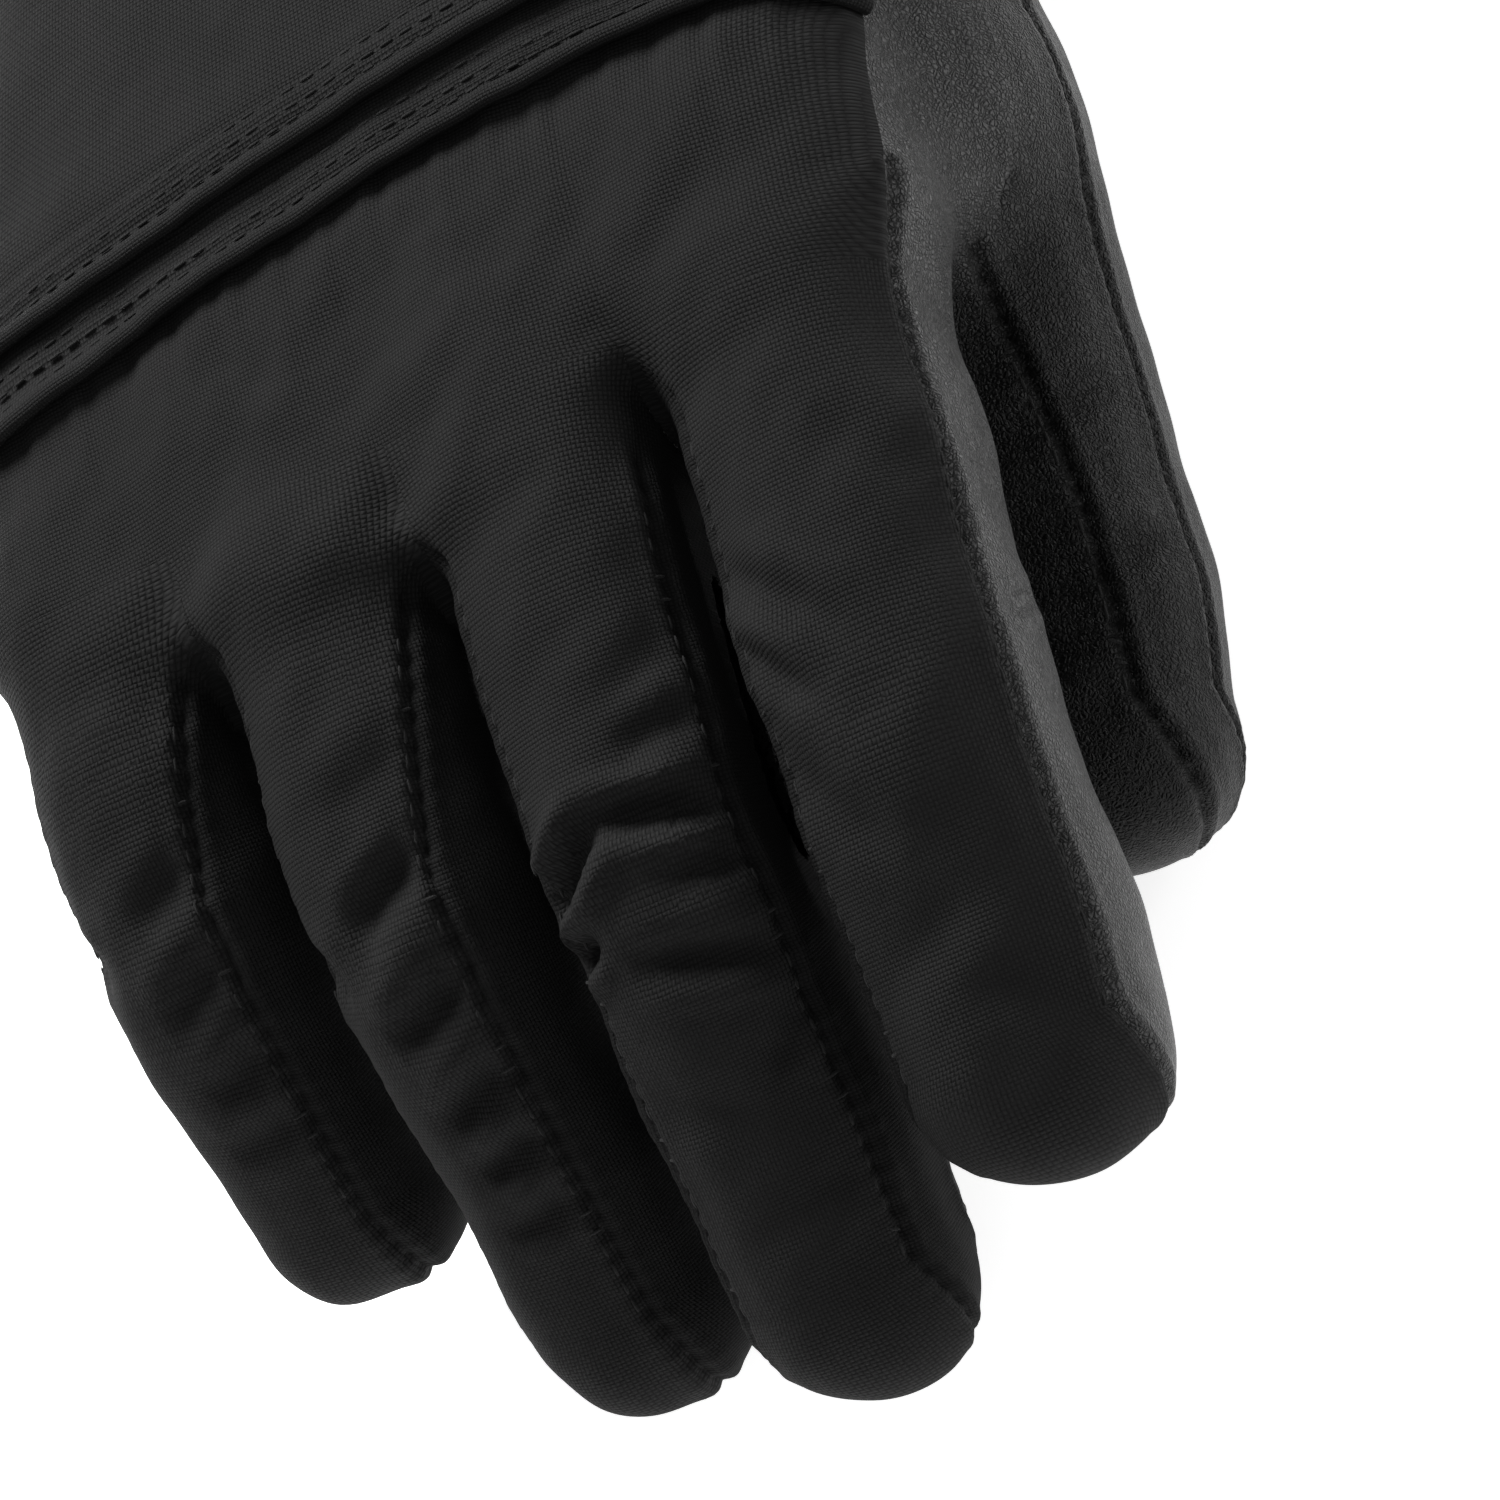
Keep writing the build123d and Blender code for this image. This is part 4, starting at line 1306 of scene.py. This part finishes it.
def tube(name, stations, turns, ripple, thick=1.2):
    """An open sleeve through sections (y, centre x, centre z, width, height, power)."""
    stations = np.array(stations, float)
    ys = np.arange(stations[0, 0], stations[-1, 0], 0.9)
    ys = np.r_[ys, stations[-1, 0]]
    a = np.linspace(0, 2 * math.pi, turns, endpoint=False)
    values = [np.interp(ys, stations[:, 0], stations[:, i])[:, None] for i in range(1, 6)]
    cx, cz, wide, tall, power = values
    c, s = np.cos(a)[None], np.sin(a)[None]
    r = round_off(c, s, power)

    def points(inset):
        w, h = wide / 2 - inset, tall / 2 - inset
        return np.stack([cx + c * r * w, np.broadcast_to(ys[:, None], r.shape), cz + s * r * h], -1)

    bump = ripple(ys[:, None], a[None])
    outer, inner = points(-bump), points(thick - bump)
    n, m = outer.shape[:2]
    faces = grid_faces(n, m, closed=True)[:, ::-1]
    return two_sided(name, outer, inner, faces, end_rims(n, m, True),
                     (a * SLEEVE_RADIUS)[None], ys[:, None])


def gathers(y, a):
    """Elastic gathers: ribs along the sleeve, pinched in by rows of elastic."""
    ribs = 0.55 * np.sin(a * 46 + 1.5 * np.sin(a * 5)) + 0.35 * np.sin(a * 29 + y * 0.12)
    bands = 0.5 * np.cos((y - WRIST) * 2 * np.pi / 5.5)
    return ribs + bands


gaiter = tube("wrist_gaiter_cloth", [
    (WRIST - 26, 2, 47.6, 94, 45, 3.0), (WRIST - 12, 2, 47.4, 88, 47, 2.9),
    (WRIST, 1, 47.0, 85, 46, 2.8), (WRIST + 7, 0.5, 46.6, 84, 45, 2.8),
    (WRIST + 14, 0, 46.0, 86, 46.5, 2.8)], turns=420, ripple=gathers)
dress(gaiter, None, KNIT, "elastic_knit", "wrist_gaiter")
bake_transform(gaiter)


def cuff_soft(y, a):
    """Slow unevenness of the cuff's cloth."""
    slow = 0.35 * np.sin(a * 3 + y * 0.11) + 0.25 * np.sin(a * 7 - y * 0.17 + 1.0)
    return slow + 0.12 * np.sin(a * 17 + y * 0.3)


CUFF = [
    (WRIST + 3, 0, 47, 90.5, 50.5, 2.7), (WRIST + 18, 0, 45.4, 97, 56, 2.6),
    (WRIST + 45, 0, 42, 112, 68.5, 2.5), (CUFF_END, 0, 39, 124.4, 77.6, 2.5),
]
cuff = tube("cuff_shell_cloth", CUFF, turns=300, thick=1.2, ripple=cuff_soft)
dress(cuff, "cuff", CUFF_CLOTH, "cuff_fabric", "cuff_shell")
inside = [(y, x, z, w - 4, h - 4, p) for y, x, z, w, h, p in CUFF]
lining = tube("cuff_lining_cloth", inside, turns=260, thick=2.6, ripple=cuff_soft)
dress(lining, "cuff", LINING, "lining", "cuff_lining")


def binding_roll(y, a):
    """The binding swells between its edges and turns in at the mouth."""
    t = np.clip((y - (MOUTH - 7)) / 7, 0, 1)
    return 0.9 * np.sin(np.pi * t) - 3.0 * np.maximum(t - 0.8, 0)


binding = tube("cuff_binding_tape", [
    (MOUTH - 7, 0, 39.2, 123.6, 77.0, 2.5), (MOUTH, 0, 39, 124.6, 77.6, 2.5)],
    turns=300, thick=6.0, ripple=binding_roll)
dress(binding, "cuff", BINDING, "binding", "cuff_binding")


def slab(name, low, high, tilt, corner, thick, crown=0.25, cell=0.8):
    """A sewn strip: a rounded plate on a tilted plane with soft edges."""
    nx, ny = (max(int((high[i] - low[i]) / cell), 8) for i in (0, 1))
    u, v = np.meshgrid(np.linspace(-1, 1, nx), np.linspace(-1, 1, ny))
    half = (high - low)[:2] / 2
    # Pull the corners in to a round.
    k = corner / half
    du = np.maximum(np.abs(u) - (1 - k[0]), 0) / k[0]
    dv = np.maximum(np.abs(v) - (1 - k[1]), 0) / k[1]
    shrink = np.where(du + dv > 0, np.maximum(du, dv) / np.maximum(np.hypot(du, dv), 1e-9), 1.0)
    u2 = np.sign(u) * np.where(du > 0, (1 - k[0]) + du * shrink * k[0], np.abs(u))
    v2 = np.sign(v) * np.where(dv > 0, (1 - k[1]) + dv * shrink * k[1], np.abs(v))
    centre = (low + high) / 2
    x = centre[0] + u2 * half[0]
    y = centre[1] + v2 * half[1]
    z = centre[2] + (y - centre[1]) * tilt
    edge = np.maximum(np.abs(u2) ** 12, np.abs(v2) ** 8)
    top = z + thick / 2 + crown * (1 - edge) - 0.25 * edge
    # A stitched line sinks in along both long edges.
    top = top - 0.22 * bell((np.abs(v2) - 0.8) * half[1], 0.5)
    bottom = z - thick / 2
    points = np.stack([x, y, top], -1)
    under = np.stack([x, y, bottom], -1)
    return two_sided(name, points, under, grid_faces(ny, nx), [edge_rim(ny, nx)], x, y)


TILT = 6.0 / (CUFF_END - WRIST)  # rise of the cuff's top towards its mouth


def plate(name, node, body, material, slot, thick, corner=2.0):
    low, high = box(node)
    o = slab(name, low, high, TILT, corner, thick)
    dress(o, body, material, slot, node)
    return o


plate("wrist_strap_webbing", "wrist_strap", "cuff", WEBBING, "webbing", 1.4)
plate("loop_patch_pile", "loop_patch", "cuff", HOOKS, "hook_loop", 0.7)
plate("ring_keeper_webbing", "ring_keeper", "cuff", WEBBING, "webbing", 2.4, 0.8)
plate("strap_tab_webbing", "strap_tab", "strap_tab", WEBBING, "webbing", 1.4, 5.0)
plate("hook_patch_hooks", "hook_patch", "strap_tab", HOOKS, "hook_loop", 0.6)


def make_loop():
    """Flat webbing folded back on itself."""
    loop_low, loop_high = box("pull_loop")
    centre = (loop_low + loop_high) / 2
    long, tall = (loop_high - loop_low)[1:] / 2 - 0.7
    a = np.linspace(0, 2 * math.pi, 72, endpoint=False)
    across = np.linspace(loop_low[0], loop_high[0], 12)
    r = round_off(np.cos(a), np.sin(a), 3.2)
    y, z = centre[1] + np.cos(a) * r * long, centre[2] + np.sin(a) * r * tall
    grow = np.stack([np.cos(a), np.sin(a)], 1) * 0.65
    outer, inner = (
        np.stack([np.c_[np.full(len(a), x), y + side[:, 0], z + side[:, 1]] for x in across])
        for side in (grow, -grow)
    )
    n, m = outer.shape[:2]
    length = a / (2 * math.pi) * LOOP_LENGTH
    return two_sided("pull_loop_webbing", outer, inner, grid_faces(n, m, closed=True),
                     end_rims(n, m, False), across[:, None], length[None])


def ring_stitches(name, y):
    """A row of stitches round the cuff at a station."""
    stations = np.array(CUFF, float)
    cx, cz, wide, tall, power = (np.interp(y, stations[:, 0], stations[:, i]) for i in range(1, 6))
    a = np.linspace(0, 2 * math.pi, 1200, endpoint=False)
    c, s = np.cos(a), np.sin(a)
    r = round_off(c, s, power)
    bump = cuff_soft(y, a)
    px, pz = cx + c * r * (wide / 2 + bump), cz + s * r * (tall / 2 + bump)
    p = np.stack([px, np.full(len(a), y), pz], 1)
    along = unit(np.roll(p, -1, 0) - np.roll(p, 1, 0))
    normals = np.cross(along, [0, 1.0, 0])
    normals *= np.sign((normals * (p - [cx, y, cz])).sum(1))[:, None]
    run = run_length(p)
    picks = np.searchsorted(run, np.arange(0, run[-1], STITCH))
    o = stitch_mesh(name, p[picks], along[picks], normals[picks])
    dress(o, "cuff", THREAD, "cuff_fabric")


ring_stitches("cuff_mouth_stitches", MOUTH - 9.5)
ring_stitches("cuff_top_stitches", WRIST + 6.0)


def strap_stitches(name, node, body, inset, rise):
    """Two straight rows along a strap's long edges and one across each end."""
    low, high = box(node)
    centre = (low + high) / 2
    xs = np.arange(low[0] + inset + 1, high[0] - inset, STITCH)
    ys = np.arange(low[1] + inset + 1, high[1] - inset, STITCH)
    (x0, y0), (x1, y1) = low[:2] + inset, high[:2] - inset
    rows = [(np.c_[xs, np.full(len(xs), y)], (1, 0, 0)) for y in (y0, y1)]
    rows += [(np.c_[np.full(len(ys), x), ys], (0, 1, TILT)) for x in (x0, x1)]
    flat = np.concatenate([r[0] for r in rows])
    along = np.concatenate([np.tile(r[1], (len(r[0]), 1)) for r in rows]).astype(float)
    p = np.c_[flat, centre[2] + (flat[:, 1] - centre[1]) * TILT + rise]
    normals = np.tile([0, -TILT, 1.0], (len(p), 1))
    o = stitch_mesh(name, p, along, normals, sink=0.0)
    dress(o, body, THREAD, "webbing")


strap_stitches("strap_tab_stitches", "strap_tab", "strap_tab", 2.2, 0.92)
strap_stitches("pull_loop_stitches", "pull_loop", "cuff", 1.6, 3.1)

o = make_loop()
dress(o, "cuff", WEBBING, "webbing", "pull_loop")

ring = frame["nodes"]["strap_ring"]
ring.data.materials.clear()
ring.data.materials.append(PLASTIC)

# ---------------------------------------------------------------- floor, light and camera


def stage_plane():
    mesh = bpy.data.meshes.new("floor")
    r, z = 3.0, cad_low.z - 0.0006
    mesh.from_pydata([(-r, -r, z), (r, -r, z), (r, r, z), (-r, r, z)], [], [(0, 1, 2, 3)])
    o = bpy.data.objects.new("floor", mesh)
    bpy.context.scene.collection.objects.link(o)
    n = Nodes("floor_paper")
    paper = n.finish(color=(0.93, 0.93, 0.93, 1), rough=0.9, specular=0.1)
    n.shader.inputs["Emission Color"].default_value = (1, 1, 1, 1)
    n.shader.inputs["Emission Strength"].default_value = 0.8
    o.data.materials.append(paper)


stage_plane()

world = bpy.data.worlds.new("studio")
bpy.context.scene.world = world
world.use_nodes = True
world.node_tree.nodes["Background"].inputs[0].default_value = (1, 1, 1, 1)
world.node_tree.nodes["Background"].inputs[1].default_value = 0.3


def area(name, place, target, size, power):
    data = bpy.data.lights.new(name, "AREA")
    data.shape, data.size, data.energy = "DISK", size, power
    o = bpy.data.objects.new(name, data)
    place, target = Vector(place), Vector(target)
    turn = (place - target).to_track_quat("Z", "Y").to_matrix().to_4x4()
    o.matrix_world = Matrix.Translation(place) @ turn
    bpy.context.scene.collection.objects.link(o)


glove_middle = (0.0, -0.03, 0.03)
area("key", (-0.34, 0.52, 0.62), glove_middle, 0.4, 14.5)
area("side", (1.0, 0.25, 0.35), glove_middle, 0.3, 2.2)
area("fill", (0.2, -1.1, 1.1), glove_middle, 0.9, 2.6)

TOWARDS = np.array([0.2962, -0.5, 0.8138])  # from the glove to the camera
RIGHT = np.array([0.8836, -0.1801, -0.4322])
UP = np.cross(TOWARDS, RIGHT)
AIM = np.array([16.4, -68.5, 42.8])
DISTANCE, FIELD = 1000.0, 156.25  # from the aim, and the width seen there
SENSOR = 36
camera_data = bpy.data.cameras.new("camera")
camera_data.sensor_width = SENSOR
camera_data.lens = SENSOR * DISTANCE / FIELD
camera = bpy.data.objects.new("camera", camera_data)
place = (AIM + TOWARDS * DISTANCE) * MM
camera.matrix_world = Matrix([
    (RIGHT[0], UP[0], TOWARDS[0], place[0]), (RIGHT[1], UP[1], TOWARDS[1], place[1]),
    (RIGHT[2], UP[2], TOWARDS[2], place[2]), (0, 0, 0, 1)])
bpy.context.scene.collection.objects.link(camera)
bpy.context.scene.camera = camera
bpy.context.scene.view_settings.view_transform = "Standard"
